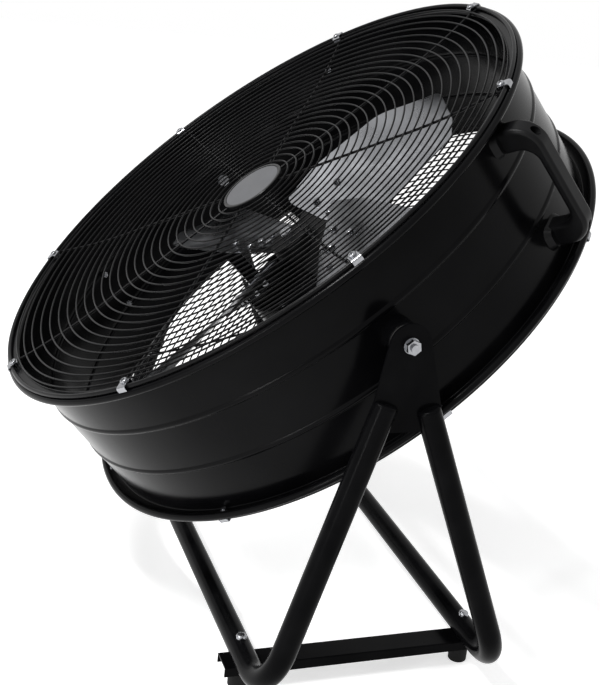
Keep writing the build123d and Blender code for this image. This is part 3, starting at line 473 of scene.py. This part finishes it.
# Black rubber of the feet: matt and softly uneven, grey where it has rubbed.
BLACK_RUBBER = Plastic(
    "black_rubber",
    "0D0D0D",
    roughness=0.72,
    spread=0.12,
    patch=12.0,
    relief=0.5,
    depth=0.05,
    ior=1.52,
    reflection=0.15,
)
# Pressed fibre of the friction discs: dark and dull.
PRESSED_FIBRE = Plastic(
    "pressed_fibre",
    "1B1A19",
    roughness=0.80,
    spread=0.10,
    patch=6.0,
    relief=0.4,
    depth=0.05,
)

NODE_FINISHES: dict[Finish, tuple[str, ...]] = {
    GLOSS_ENAMEL: (
        "drum_shell",
        "right_pivot_boss",
        "left_pivot_boss",
        "motor_shell",
        "motor_front_bell",
        "motor_rear_bell",
        "upper_motor_bar",
        "lower_motor_bar",
    ),
    TUBE_ENAMEL: (
        "front_tube",
        "rear_tube",
        "right_side_plate",
        "left_side_plate",
        "right_rail",
        "left_rail",
    ),
    WIRE_ENAMEL: ("front_guard", "rear_guard"),
    ARM_ENAMEL: ("fan_spider",),
    ROLLED_ALUMINIUM: ("blade_1", "blade_2", "blade_3", "blade_4"),
    ZINC_PLATE: (
        "guard_clips",
        "clip_screws",
        "clip_nuts",
        "handle_screws",
        "handle_nuts",
        "box_screws",
        "box_nuts",
        "pivot_bolts",
        "pivot_washers",
        "pivot_nuts",
        "motor_studs",
        "stud_nuts",
        "blade_rivets",
        "hub_set_screw",
        "tube_bolts",
        "tube_nuts",
    ),
    GROUND_STEEL: ("motor_shaft", "motor_bearings"),
    STACKED_STEEL: ("motor_stator", "motor_rotor"),
    COPPER_WIRE: ("motor_windings",),
    BADGE_PLATE: ("badge_disc",),
    BLACK_ABS: (
        "right_handle",
        "left_handle",
        "switch_box",
        "switch_box_cover",
        "cord_gland",
        "rotary_switch",
    ),
    SMOOTH_ABS: ("switch_knob", "badge_bezel"),
    WHITE_PP: ("capacitor",),
    BLACK_RUBBER: ("rubber_feet",),
    PRESSED_FIBRE: ("right_friction_disc", "left_friction_disc"),
}


# ----------------------------------------------------------------------
# Meshes
# ----------------------------------------------------------------------
@dataclass
class Draft:
    """A mesh that is being drawn, in metres.

    Attributes:
        corners: Its points.
        faces: Its faces, as numbers of points.
    """

    corners: list[Vector] = field(default_factory=list)
    faces: list[tuple[int, ...]] = field(default_factory=list)

    def strip(self, rows: Sequence[Sequence[Vector]], joined: bool) -> None:
        """Join equal rows of points with quads.

        Args:
            rows: Closed rings of points, in order.
            joined: True where the last ring joins the first.
        """
        start = len(self.corners)
        count = len(rows[0])
        self.corners.extend(point for row in rows for point in row)
        for i in range(len(rows) if joined else len(rows) - 1):
            near = start + i * count
            far = start + (i + 1) % len(rows) * count
            for j in range(count):
                k = (j + 1) % count
                self.faces.append((near + j, near + k, far + k, far + j))

    def cap(self, ring: Sequence[Vector], backwards: bool = False) -> None:
        """Close a ring of points with one face.

        Args:
            ring: The points, in order.
            backwards: True where the face looks the other way.
        """
        start = len(self.corners)
        self.corners.extend(ring)
        order = range(start, start + len(ring))
        self.faces.append(tuple(reversed(order)) if backwards else tuple(order))

    def lathe(self, outline: Sequence[Flat], steps: int) -> None:
        """Turn a closed outline round the local Z axis.

        Args:
            outline: Points as (radius, height), in order.
            steps: Copies of the outline in a full turn.
        """
        turns = [2 * math.pi * i / steps for i in range(steps)]
        rows = [
            [Vector((r * math.cos(a), r * math.sin(a), z)) for r, z in outline] for a in turns
        ]
        self.strip(rows, joined=True)

    def wire(self, path: Sequence[Vector], radius: float, sides: int) -> None:
        """Sweep a round section along an open path, and close both ends.

        Args:
            path: Points of the wire's middle line.
            radius: Radius of the wire.
            sides: Corners of its section.
        """
        rows = section_rings(path, radius, sides)
        self.strip(rows, joined=False)
        self.cap(rows[0], backwards=True)
        self.cap(rows[-1])

    def build(self, name: str, place: Matrix, material: bpy.types.Material) -> bpy.types.Object:
        """Make the object, smooth, in its material.

        Args:
            name: The piece's name.
            place: Where the draft's own frame lies in the scene.
            material: What it is made of.

        Returns:
            The new object.
        """
        mesh = bpy.data.meshes.new(name)
        mesh.from_pydata([place @ corner for corner in self.corners], [], self.faces)
        mesh.validate()
        mesh.materials.append(material)
        mesh.shade_smooth()
        piece = bpy.data.objects.new(name, mesh)
        bpy.context.scene.collection.objects.link(piece)
        return piece


def section_rings(path: Sequence[Vector], radius: float, sides: int) -> list[list[Vector]]:
    """Round sections of a wire or tube at every point of an open path.

    Args:
        path: Points of a path that lies in one plane.
        radius: Radius of the wire or tube.
        sides: Corners of each section.

    Returns:
        One ring of points for each point of the path.
    """
    normal = plane_normal(path)
    turns = [2 * math.pi * j / sides for j in range(sides)]
    last = len(path) - 1
    rings = []
    for i, middle in enumerate(path):
        along = (path[min(i + 1, last)] - path[max(i - 1, 0)]).normalized()
        across = normal.cross(along)
        rings.append(
            [middle + (across * math.cos(a) + normal * math.sin(a)) * radius for a in turns]
        )
    return rings


def plane_normal(path: Sequence[Vector]) -> Vector:
    """Find the normal of the plane that a path lies in.

    Args:
        path: Two points or more.

    Returns:
        The normal, or any square direction for a straight path.
    """
    first = path[1] - path[0]
    for point in path[2:]:
        normal = first.cross(point - path[0])
        if normal.length > STRAIGHT:
            return normal.normalized()
    return first.orthogonal().normalized()


def rounded(corners: Sequence[Vector], radius: float, steps: int) -> list[Vector]:
    """Round the inner corners of a path with arcs.

    Args:
        corners: The path's corners, ends included.
        radius: Radius of each arc.
        steps: Straight lengths along each arc.

    Returns:
        The path's points, arcs included.
    """
    points = [corners[0]]
    for before, corner, after in zip(corners, corners[1:], corners[2:]):
        back = (before - corner).normalized()
        on = (after - corner).normalized()
        half = back.angle(on) / 2
        centre = corner + (back + on).normalized() * (radius / math.sin(half))
        start = corner + back * (radius / math.tan(half)) - centre
        end = corner + on * (radius / math.tan(half)) - centre
        sweep = start.angle(end)
        for k in range(steps + 1):
            share = k / steps
            mixed = start * math.sin((1 - share) * sweep) + end * math.sin(share * sweep)
            points.append(centre + mixed / math.sin(sweep))
    return points + [corners[-1]]


def arc(centre: Flat, radius: float, start: float, end: float, steps: int) -> list[Flat]:
    """Points of an arc in an outline.

    Args:
        centre: The arc's centre as (radius, height).
        radius: The arc's radius.
        start: Its first angle, in degrees from the outward direction.
        end: Its last angle.
        steps: Straight lengths along it.

    Returns:
        The points, both ends included.
    """
    angles = [math.radians(start + (end - start) * i / steps) for i in range(steps + 1)]
    return [(centre[0] + radius * math.cos(a), centre[1] + radius * math.sin(a)) for a in angles]


# ----------------------------------------------------------------------
# The drum and its guards
# ----------------------------------------------------------------------
@dataclass
class Drum:
    """The spun wall with its ribs, flanges and rolled beads, in millimetres.

    Attributes:
        place: The drum's own frame, with Z the way the air is blown.
        wall: Outer radius of the wall.
        sheet: Thickness of the sheet.
        front: Height of the front flange's face.
        rear: Height of the rear flange's face.
        bead: Outer radius of the rolled bead's section.
        bead_circle: Radius of the bead's middle line.
        bead_proud: How far the bead stands out of the flange's face.
        fold: Inner radius of the fold between wall and flange.
        rib: How far a pressed rib stands out of the wall.
        rib_width: Width of a rib.
        rib_places: Where the ribs lie, as shares of the way from rear to front.
        crease: Width of the narrow strips beside folds and ribs, which keep the shading
            of the wide faces between them flat.
        turns: Steps in a full turn.
        rib_steps: Steps across a rib.
        outer_fold_steps: Steps round the outside of a fold.
        inner_fold_steps: Steps round its inside.
        bead_steps: Steps round a bead.
    """

    place: Matrix
    wall: float = 333.5
    sheet: float = 1.5
    front: float = 88.0
    rear: float = -98.5
    bead: float = 4.0
    bead_circle: float = 346.0
    bead_proud: float = 0.5
    fold: float = 1.0
    rib: float = 1.6
    rib_width: float = 7.0
    rib_places: tuple[float, ...] = (1 / 3, 2 / 3)
    crease: float = 0.5
    turns: int = 256
    rib_steps: int = 10
    outer_fold_steps: int = 6
    inner_fold_steps: int = 4
    bead_steps: int = 28

    def ribs(self, radius: float) -> list[Flat]:
        """Outline of one face of the wall between its folds, from the rear to the front.

        Args:
            radius: Radius of that face.

        Returns:
            The outline's points.
        """
        half = self.rib_width / 2
        bulge = (half**2 + self.rib**2) / (2 * self.rib)
        spread = math.degrees(math.asin(half / bulge))
        low = self.rear + self.fold + self.sheet
        high = self.front - self.fold - self.sheet
        line = [(radius, low), (radius, low + self.crease)]
        for share in self.rib_places:
            height = self.rear + (self.front - self.rear) * share
            middle = (radius + self.rib - bulge, height)
            line.append((radius, height - half - self.crease))
            line += arc(middle, bulge, -spread, spread, self.rib_steps)
            line.append((radius, height + half + self.crease))
        return line + [(radius, high - self.crease), (radius, high)]

    def rim(self, side: int) -> list[Flat]:
        """Outline of the fold, flange and bead at one end, from the inner to the outer face.

        Args:
            side: 1 at the front and -1 at the rear.

        Returns:
            The outline's points.
        """
        face = self.front if side > 0 else self.rear
        outer = self.fold + self.sheet
        corner = (self.wall - self.sheet + outer, face - side * outer)
        sunk = self.bead - self.bead_proud
        middle = (self.bead_circle, face - side * sunk)
        first = side * (180 - math.degrees(math.asin(sunk / self.bead)))
        last = -side * (180 - math.degrees(math.asin((sunk - self.sheet) / self.bead)))
        line = arc(corner, outer, 180, 180 - 90 * side, self.outer_fold_steps)
        line += arc(middle, self.bead, first, last, self.bead_steps)
        return line + arc(corner, self.fold, 180 - 90 * side, 180, self.inner_fold_steps)

    def build(self) -> None:
        """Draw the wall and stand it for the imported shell."""
        inner = self.ribs(self.wall - self.sheet)
        outer = self.ribs(self.wall)
        outline = inner[1:-1] + self.rim(1) + outer[-2:0:-1] + self.rim(-1)[::-1]
        draft = Draft()
        draft.lathe([(r * MM, z * MM) for r, z in outline], self.turns)
        shell = draft.build("drum_wall", self.place, GLOSS_ENAMEL.material())
        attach(shell, "drum")
        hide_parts("drum_shell")
        log.info("drum_wall: %d faces", len(draft.faces))


@dataclass
class Guard:
    """A guard of welded wire rings on spokes, in millimetres.

    Attributes:
        place: The drum's own frame.
        name: The guard's name.
        node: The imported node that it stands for.
        base: Height that the guard's own heights start from, at the front the face of
            the flange.
        first_ring: Radius of the innermost ring.
        pitch: Radius from one ring to the next.
        ring_count: Rings at that pitch.
        edge_rings: Radii of the closer rings near the rim.
        ring_wire: Diameter of the rings' wire.
        rim_wire: Diameter of the rim's wire.
        rim_circle: Radius of the rim's middle line.
        spoke_wire: Diameter of a spoke.
        spokes: Number of spokes.
        spoke_end: Radius that the spokes reach.
        dish: How deep the middle is dished.
        dish_start: Radius at which the spokes start to rise out of the dish.
        dish_end: Radius at which they are level with the rim.
        seat: Gap between the rim wire and the flange.
        weld: How far a ring sinks into a spoke.
        disc: Radius of the middle disc.
        disc_sheet: Thickness of that disc.
        disc_edge: Bevel of its edge.
        disc_middle: Radius of the hole at its middle, too small to see.
        disc_steps: Steps round the disc.
        ring_sides: Corners of a ring wire's section.
        rim_sides: Corners of the rim wire's section.
        spoke_sides: Corners of a spoke's section.
        rise_steps: Steps along a spoke's rise.
        least_steps: Fewest steps round a ring.
        steps_per_mm: Steps round a ring for each millimetre of its radius.
    """

    place: Matrix
    name: str
    node: str
    base: float
    first_ring: float = 48.0
    pitch: float = 12.0
    ring_count: int = 23
    edge_rings: tuple[float, ...] = (322.5, 332.0)
    ring_wire: float = 2.0
    rim_wire: float = 5.0
    rim_circle: float = 343.0
    spoke_wire: float = 3.0
    spokes: int = 8
    spoke_end: float = 341.5
    dish: float = 8.0
    dish_start: float = 216.0
    dish_end: float = 330.0
    seat: float = 0.05
    weld: float = 0.35
    disc: float = 34.0
    disc_sheet: float = 2.0
    disc_edge: float = 0.4
    disc_middle: float = 0.01
    disc_steps: int = 96
    ring_sides: int = 8
    rim_sides: int = 14
    spoke_sides: int = 10
    rise_steps: int = 16
    least_steps: int = 72
    steps_per_mm: float = 0.62

    def spoke_height(self, radius: float) -> float:
        """Height of a spoke's middle line over the base.

        Args:
            radius: Where on the spoke.

        Returns:
            The height, lowest over the dished middle.
        """
        share = (radius - self.dish_start) / (self.dish_end - self.dish_start)
        share = min(max(share, 0.0), 1.0)
        return self.spoke_wire / 2 + self.seat - self.dish * (1 - share**2)

    def ring(self, draft: Draft, radius: float, height: float, wire: float, sides: int) -> None:
        """Draw one round ring.

        Args:
            draft: The guard's mesh.
            radius: Radius of the ring's middle line.
            height: Its height over the base.
            wire: Diameter of the wire.
            sides: Corners of the wire's section.
        """
        steps = max(self.least_steps, int(radius * self.steps_per_mm))
        middle = (radius * MM, (self.base + height) * MM)
        draft.lathe(arc(middle, wire / 2 * MM, 0, 360 - 360 / sides, sides - 1), steps)

    def rings(self, draft: Draft) -> None:
        """Draw every ring that is welded to the spokes, and the rim.

        Args:
            draft: The guard's mesh.
        """
        weld_rise = (self.spoke_wire + self.ring_wire) / 2 - self.weld
        radii = [self.first_ring + i * self.pitch for i in range(self.ring_count)]
        for radius in (*radii, *self.edge_rings):
            height = self.spoke_height(radius) + weld_rise
            self.ring(draft, radius, height, self.ring_wire, self.ring_sides)
        height = self.rim_wire / 2 + self.seat
        self.ring(draft, self.rim_circle, height, self.rim_wire, self.rim_sides)

    def spoke(self, draft: Draft, angle: float) -> None:
        """Draw one spoke, from under the middle disc to the rim.

        Args:
            draft: The guard's mesh.
            angle: The way it points, in radians.
        """
        rise = self.dish_end - self.dish_start
        stops = [self.disc / 2]
        stops += [self.dish_start + rise * i / self.rise_steps for i in range(self.rise_steps + 1)]
        stops.append(self.spoke_end)
        line = [
            Vector((r * math.cos(angle), r * math.sin(angle), self.base + self.spoke_height(r)))
            * MM
            for r in stops
        ]
        draft.wire(line, self.spoke_wire / 2 * MM, self.spoke_sides)

    def middle(self, draft: Draft) -> None:
        """Draw the disc that the spokes meet at.

        Args:
            draft: The guard's mesh.
        """
        top = self.base + self.spoke_height(0) + self.spoke_wire / 2
        low = top - self.disc_sheet
        outline = [
            (self.disc_middle, low),
            (self.disc - self.disc_edge, low),
            (self.disc, low + self.disc_edge),
            (self.disc, top - self.disc_edge),
            (self.disc - self.disc_edge, top),
            (self.disc_middle, top),
        ]
        draft.lathe([(r * MM, z * MM) for r, z in outline], self.disc_steps)

    def build(self) -> None:
        """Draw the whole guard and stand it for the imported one."""
        draft = Draft()
        self.rings(draft)
        for turn in range(self.spokes):
            self.spoke(draft, 2 * math.pi * turn / self.spokes)
        self.middle(draft)
        guard = draft.build(self.name, self.place, WIRE_ENAMEL.material())
        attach(guard, "drum")
        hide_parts(self.node)
        log.info("%s: %d faces", self.name, len(draft.faces))


# ----------------------------------------------------------------------
# The stand's tubes
# ----------------------------------------------------------------------
@dataclass
class StandTube:
    """One bent tube along the floor and up to the side plates, in millimetres.

    Attributes:
        name: The tube's name.
        node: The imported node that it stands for.
        run: Where its floor run lies, as a distance behind the tilt axis.
        top: Height of the legs' ends.
        pivot: Height of the tilt axis.
        half_width: Distance of a leg's middle line from the middle of the fan.
        run_height: Height of the floor run's middle line.
        radius: Outer radius of the tube.
        cap: Height of the cap that closes an end.
        cap_round: Radius of the cap's round edge.
        bend: Radius of the bends' middle line.
        sides: Corners of the tube's section.
        bend_steps: Steps along a bend.
        cap_steps: Steps round the cap's edge.
    """

    name: str
    node: str
    run: float
    top: float
    pivot: float
    half_width: float = 370.25
    run_height: float = 43.55
    radius: float = 12.5
    cap: float = 4.0
    cap_round: float = 3.5
    bend: float = 55.0
    sides: int = 40
    bend_steps: int = 18
    cap_steps: int = 6

    def dome(self, ring: Sequence[Vector], end: Vector, lean: Vector) -> list[list[Vector]]:
        """Rings of the rounded cap that closes one end.

        Args:
            ring: The tube's last ring.
            end: The middle of that ring.
            lean: The way the tube's leg points.

        Returns:
            The cap's rings, from the tube outwards.
        """
        middle = (self.radius - self.cap_round, self.cap - self.cap_round)
        return [
            [end + (point - end) * (radius / self.radius) + lean * (rise * MM) for point in ring]
            for radius, rise in arc(middle, self.cap_round, 0, 90, self.cap_steps)
        ]

    def build(self) -> None:
        """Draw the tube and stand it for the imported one."""
        lean = Vector((0, -self.run, self.pivot - self.run_height)).normalized()
        leg = lean * ((self.top - self.run_height) / lean.z)
        foot = Vector((0, self.run, self.run_height))
        side = Vector((self.half_width, 0, 0))
        corners = [foot - side + leg, foot - side, foot + side, foot + side + leg]
        path = [point * MM for point in rounded(corners, self.bend, self.bend_steps)]
        rings = section_rings(path, self.radius * MM, self.sides)
        first = self.dome(rings[0], path[0], lean)
        last = self.dome(rings[-1], path[-1], lean)
        rows = first[::-1] + rings + last
        draft = Draft()
        draft.strip(rows, joined=False)
        draft.cap(rows[0], backwards=True)
        draft.cap(rows[-1])
        tube = draft.build(self.name, Matrix.Identity(4), TUBE_ENAMEL.material())
        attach(tube, "stand")
        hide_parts(self.node)
        log.info("%s: %d faces", self.name, len(draft.faces))


# ----------------------------------------------------------------------
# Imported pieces, light and camera
# ----------------------------------------------------------------------
@dataclass
class PackedPieces:
    """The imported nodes, by name."""

    nodes: dict[str, bpy.types.Object]

    def dress(self) -> None:
        """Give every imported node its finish."""
        for finish, names in NODE_FINISHES.items():
            for name in names:
                node = self.nodes[name]
                node.data.materials.clear()
                node.data.materials.append(finish.material())
            log.info("%s: %s", finish.name, ", ".join(names))


@dataclass(frozen=True)
class Lamp:
    """One soft rectangular lamp, in metres and watts."""

    name: str
    place: Point
    power: float
    width: float
    height: float


@dataclass
class Studio:
    """A pale floor, soft lamps and the photograph's camera.

    Attributes:
        centre: What the lamps look at, in metres.
        image: The photograph's width and height, in pixels.
        focal: The camera's focal length, in pixels.
        middle: Where the lens looks in the photograph, in pixels.
        azimuth: The way the camera stands, in degrees.
        elevation: How far it looks down, in degrees.
        roll: How far it is turned about its own view, in degrees.
        eye: Where it stands, in metres.
        sensor: Width of its sensor, in millimetres.
        floor_size: Width of the floor, in metres.
        floor_colour: The floor's colour, as an sRGB hex value.
        floor_roughness: Its roughness.
        floor_lift: Strength that lifts it to white where it shows.
        ambient: Strength of the soft light all round.
        lamps: The lamps.
    """

    centre: Point
    image: tuple[int, int] = (600, 685)
    focal: float = 1217.56
    middle: Flat = (360.87, 307.04)
    azimuth: float = 67.493
    elevation: float = 16.810
    roll: float = 6.785
    eye: Point = (1.34393, -0.45784, 0.76955)
    sensor: float = 36.0
    floor_size: float = 14.0
    floor_colour: str = "F4F4F4"
    floor_roughness: float = 0.9
    floor_lift: float = 0.58
    ambient: float = 0.45
    lamps: tuple[Lamp, ...] = (
        Lamp("key_lamp", (0.35, -1.7, 2.7), power=80.0, width=1.7, height=0.153),
        Lamp("side_lamp", (1.7, -2.5, 0.9), power=30.0, width=0.09, height=1.62),
    )

    def camera(self) -> None:
        """Place the camera where the photograph was taken from."""
        azimuth, elevation, roll = map(math.radians, (self.azimuth, self.elevation, self.roll))
        back = Vector(
            (
                math.cos(elevation) * math.sin(azimuth),
                -math.cos(elevation) * math.cos(azimuth),
                math.sin(elevation),
            )
        )
        level = Vector((math.cos(azimuth), math.sin(azimuth), 0))
        upright = back.cross(level)
        right = math.cos(roll) * level + math.sin(roll) * upright
        up = math.cos(roll) * upright - math.sin(roll) * level
        longest = max(self.image)
        data = bpy.data.cameras.new("camera")
        data.sensor_width = self.sensor
        data.lens = self.focal * self.sensor / longest
        data.shift_x = (self.image[0] / 2 - self.middle[0]) / longest
        data.shift_y = (self.middle[1] - self.image[1] / 2) / longest
        camera = bpy.data.objects.new("camera", data)
        axes = Matrix((right, up, back)).transposed().to_4x4()
        camera.matrix_world = Matrix.Translation(self.eye) @ axes
        bpy.context.scene.collection.objects.link(camera)
        bpy.context.scene.camera = camera

    def hang(self, lamp: Lamp) -> None:
        """Hang one lamp so that it looks at the fan.

        Args:
            lamp: The lamp, with its place, power and size.
        """
        data = bpy.data.lights.new(lamp.name, "AREA")
        data.shape = "RECTANGLE"
        data.size = lamp.width
        data.size_y = lamp.height
        data.energy = lamp.power
        light = bpy.data.objects.new(lamp.name, data)
        aim = (Vector(self.centre) - Vector(lamp.place)).to_track_quat("-Z", "Y")
        light.matrix_world = Matrix.Translation(lamp.place) @ aim.to_matrix().to_4x4()
        bpy.context.scene.collection.objects.link(light)

    def floor(self) -> None:
        """Lay a plain white floor that keeps the fan's shadow."""
        material = bpy.data.materials.new("white_floor")
        material.use_nodes = True
        tree = material.node_tree
        shader = tree.nodes["Principled BSDF"]
        shader.inputs["Base Color"].default_value = linear(self.floor_colour)
        shader.inputs["Roughness"].default_value = self.floor_roughness
        shader.inputs["Emission Color"].default_value = linear(WHITE)
        lift = add_node(tree, "ShaderNodeMath", {0: self.shown(tree)}, operation="MULTIPLY")
        lift.inputs[1].default_value = self.floor_lift
        tree.links.new(lift.outputs[0], shader.inputs["Emission Strength"])
        half = self.floor_size / 2
        square = ((-half, -half), (half, -half), (half, half), (-half, half))
        draft = Draft()
        draft.cap([Vector((*corner, 0)) for corner in square])
        floor = draft.build("floor", Matrix.Identity(4), material)

    def shown(self, tree: bpy.types.NodeTree) -> bpy.types.NodeSocket:
        """Tell the rays that show the background from those that only light the object.

        Args:
            tree: The tree that takes the nodes.

        Returns:
            A socket that is 1 for camera, glossy and transmission rays, and 0 for the others.
        """
        path = add_node(tree, "ShaderNodeLightPath").outputs
        seen = path["Is Camera Ray"]
        for ray in ("Is Glossy Ray", "Is Transmission Ray"):
            either = {0: seen, 1: path[ray]}
            seen = add_node(tree, "ShaderNodeMath", either, operation="MAXIMUM").outputs[0]
        return seen

    def world(self) -> None:
        """Light all round softly, and show white to the eye and in reflections."""
        world = bpy.data.worlds.new("studio")
        world.use_nodes = True
        bpy.context.scene.world = world
        tree = world.node_tree
        tree.nodes.clear()
        white = linear(WHITE)
        soft = add_node(tree, "ShaderNodeBackground", Color=white, Strength=self.ambient)
        plain = add_node(tree, "ShaderNodeBackground", Color=white, Strength=1.0)
        parts = {0: self.shown(tree), 1: soft.outputs[0], 2: plain.outputs[0]}
        mixed = add_node(tree, "ShaderNodeMixShader", parts)
        add_node(tree, "ShaderNodeOutputWorld", {"Surface": mixed.outputs[0]})

    def build(self) -> None:
        """Set the whole studio up."""
        self.camera()
        self.floor()
        self.world()
        for lamp in self.lamps:
            self.hang(lamp)
        view = bpy.context.scene.view_settings
        view.view_transform = "Standard"
        log.info("studio: camera, floor, world and lamps")


def drum_place(joints: Iterable[dict]) -> Matrix:
    """Find the drum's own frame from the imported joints.

    Args:
        joints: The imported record's joints.

    Returns:
        The frame, with its Z along the way the air is blown and its X along the tilt axis.
    """
    spin = next(joint for joint in joints if joint["name"] == "fan_spin")
    blow = Vector(spin["axis"]).normalized()
    side = Vector((1, 0, 0))
    axes = Matrix((side, blow.cross(side), blow)).transposed().to_4x4()
    return Matrix.Translation(spin["pos_m"]) @ axes


def main() -> None:
    """Build the fan's pieces in order, then the studio."""
    logging.basicConfig(level=logging.INFO, format="%(name)s %(message)s")
    record = frame["record"]
    place = drum_place(record["behaviour"]["joints"])
    pivot = place.translation.z / MM
    drum = Drum(place)
    # The rear guard is the front one moved back, so that its rim seats on the rear flange.
    rear_base = drum.rear - 2 * (Guard.rim_wire / 2 + Guard.seat)
    builders: list[Callable[[], None]] = [
        PackedPieces(frame["nodes"]).dress,
        drum.build,
        Guard(place, "front_guard_wires", "front_guard", drum.front).build,
        Guard(place, "rear_guard_wires", "rear_guard", rear_base).build,
        StandTube("front_stand_tube", "front_tube", run=-106.7, top=352.0, pivot=pivot).build,
        StandTube("rear_stand_tube", "rear_tube", run=152.4, top=347.0, pivot=pivot).build,
        Studio(centre=(0.0, 0.0, 0.38)).build,
    ]
    for build in builders:
        build()


if __name__ == "__main__":
    main()
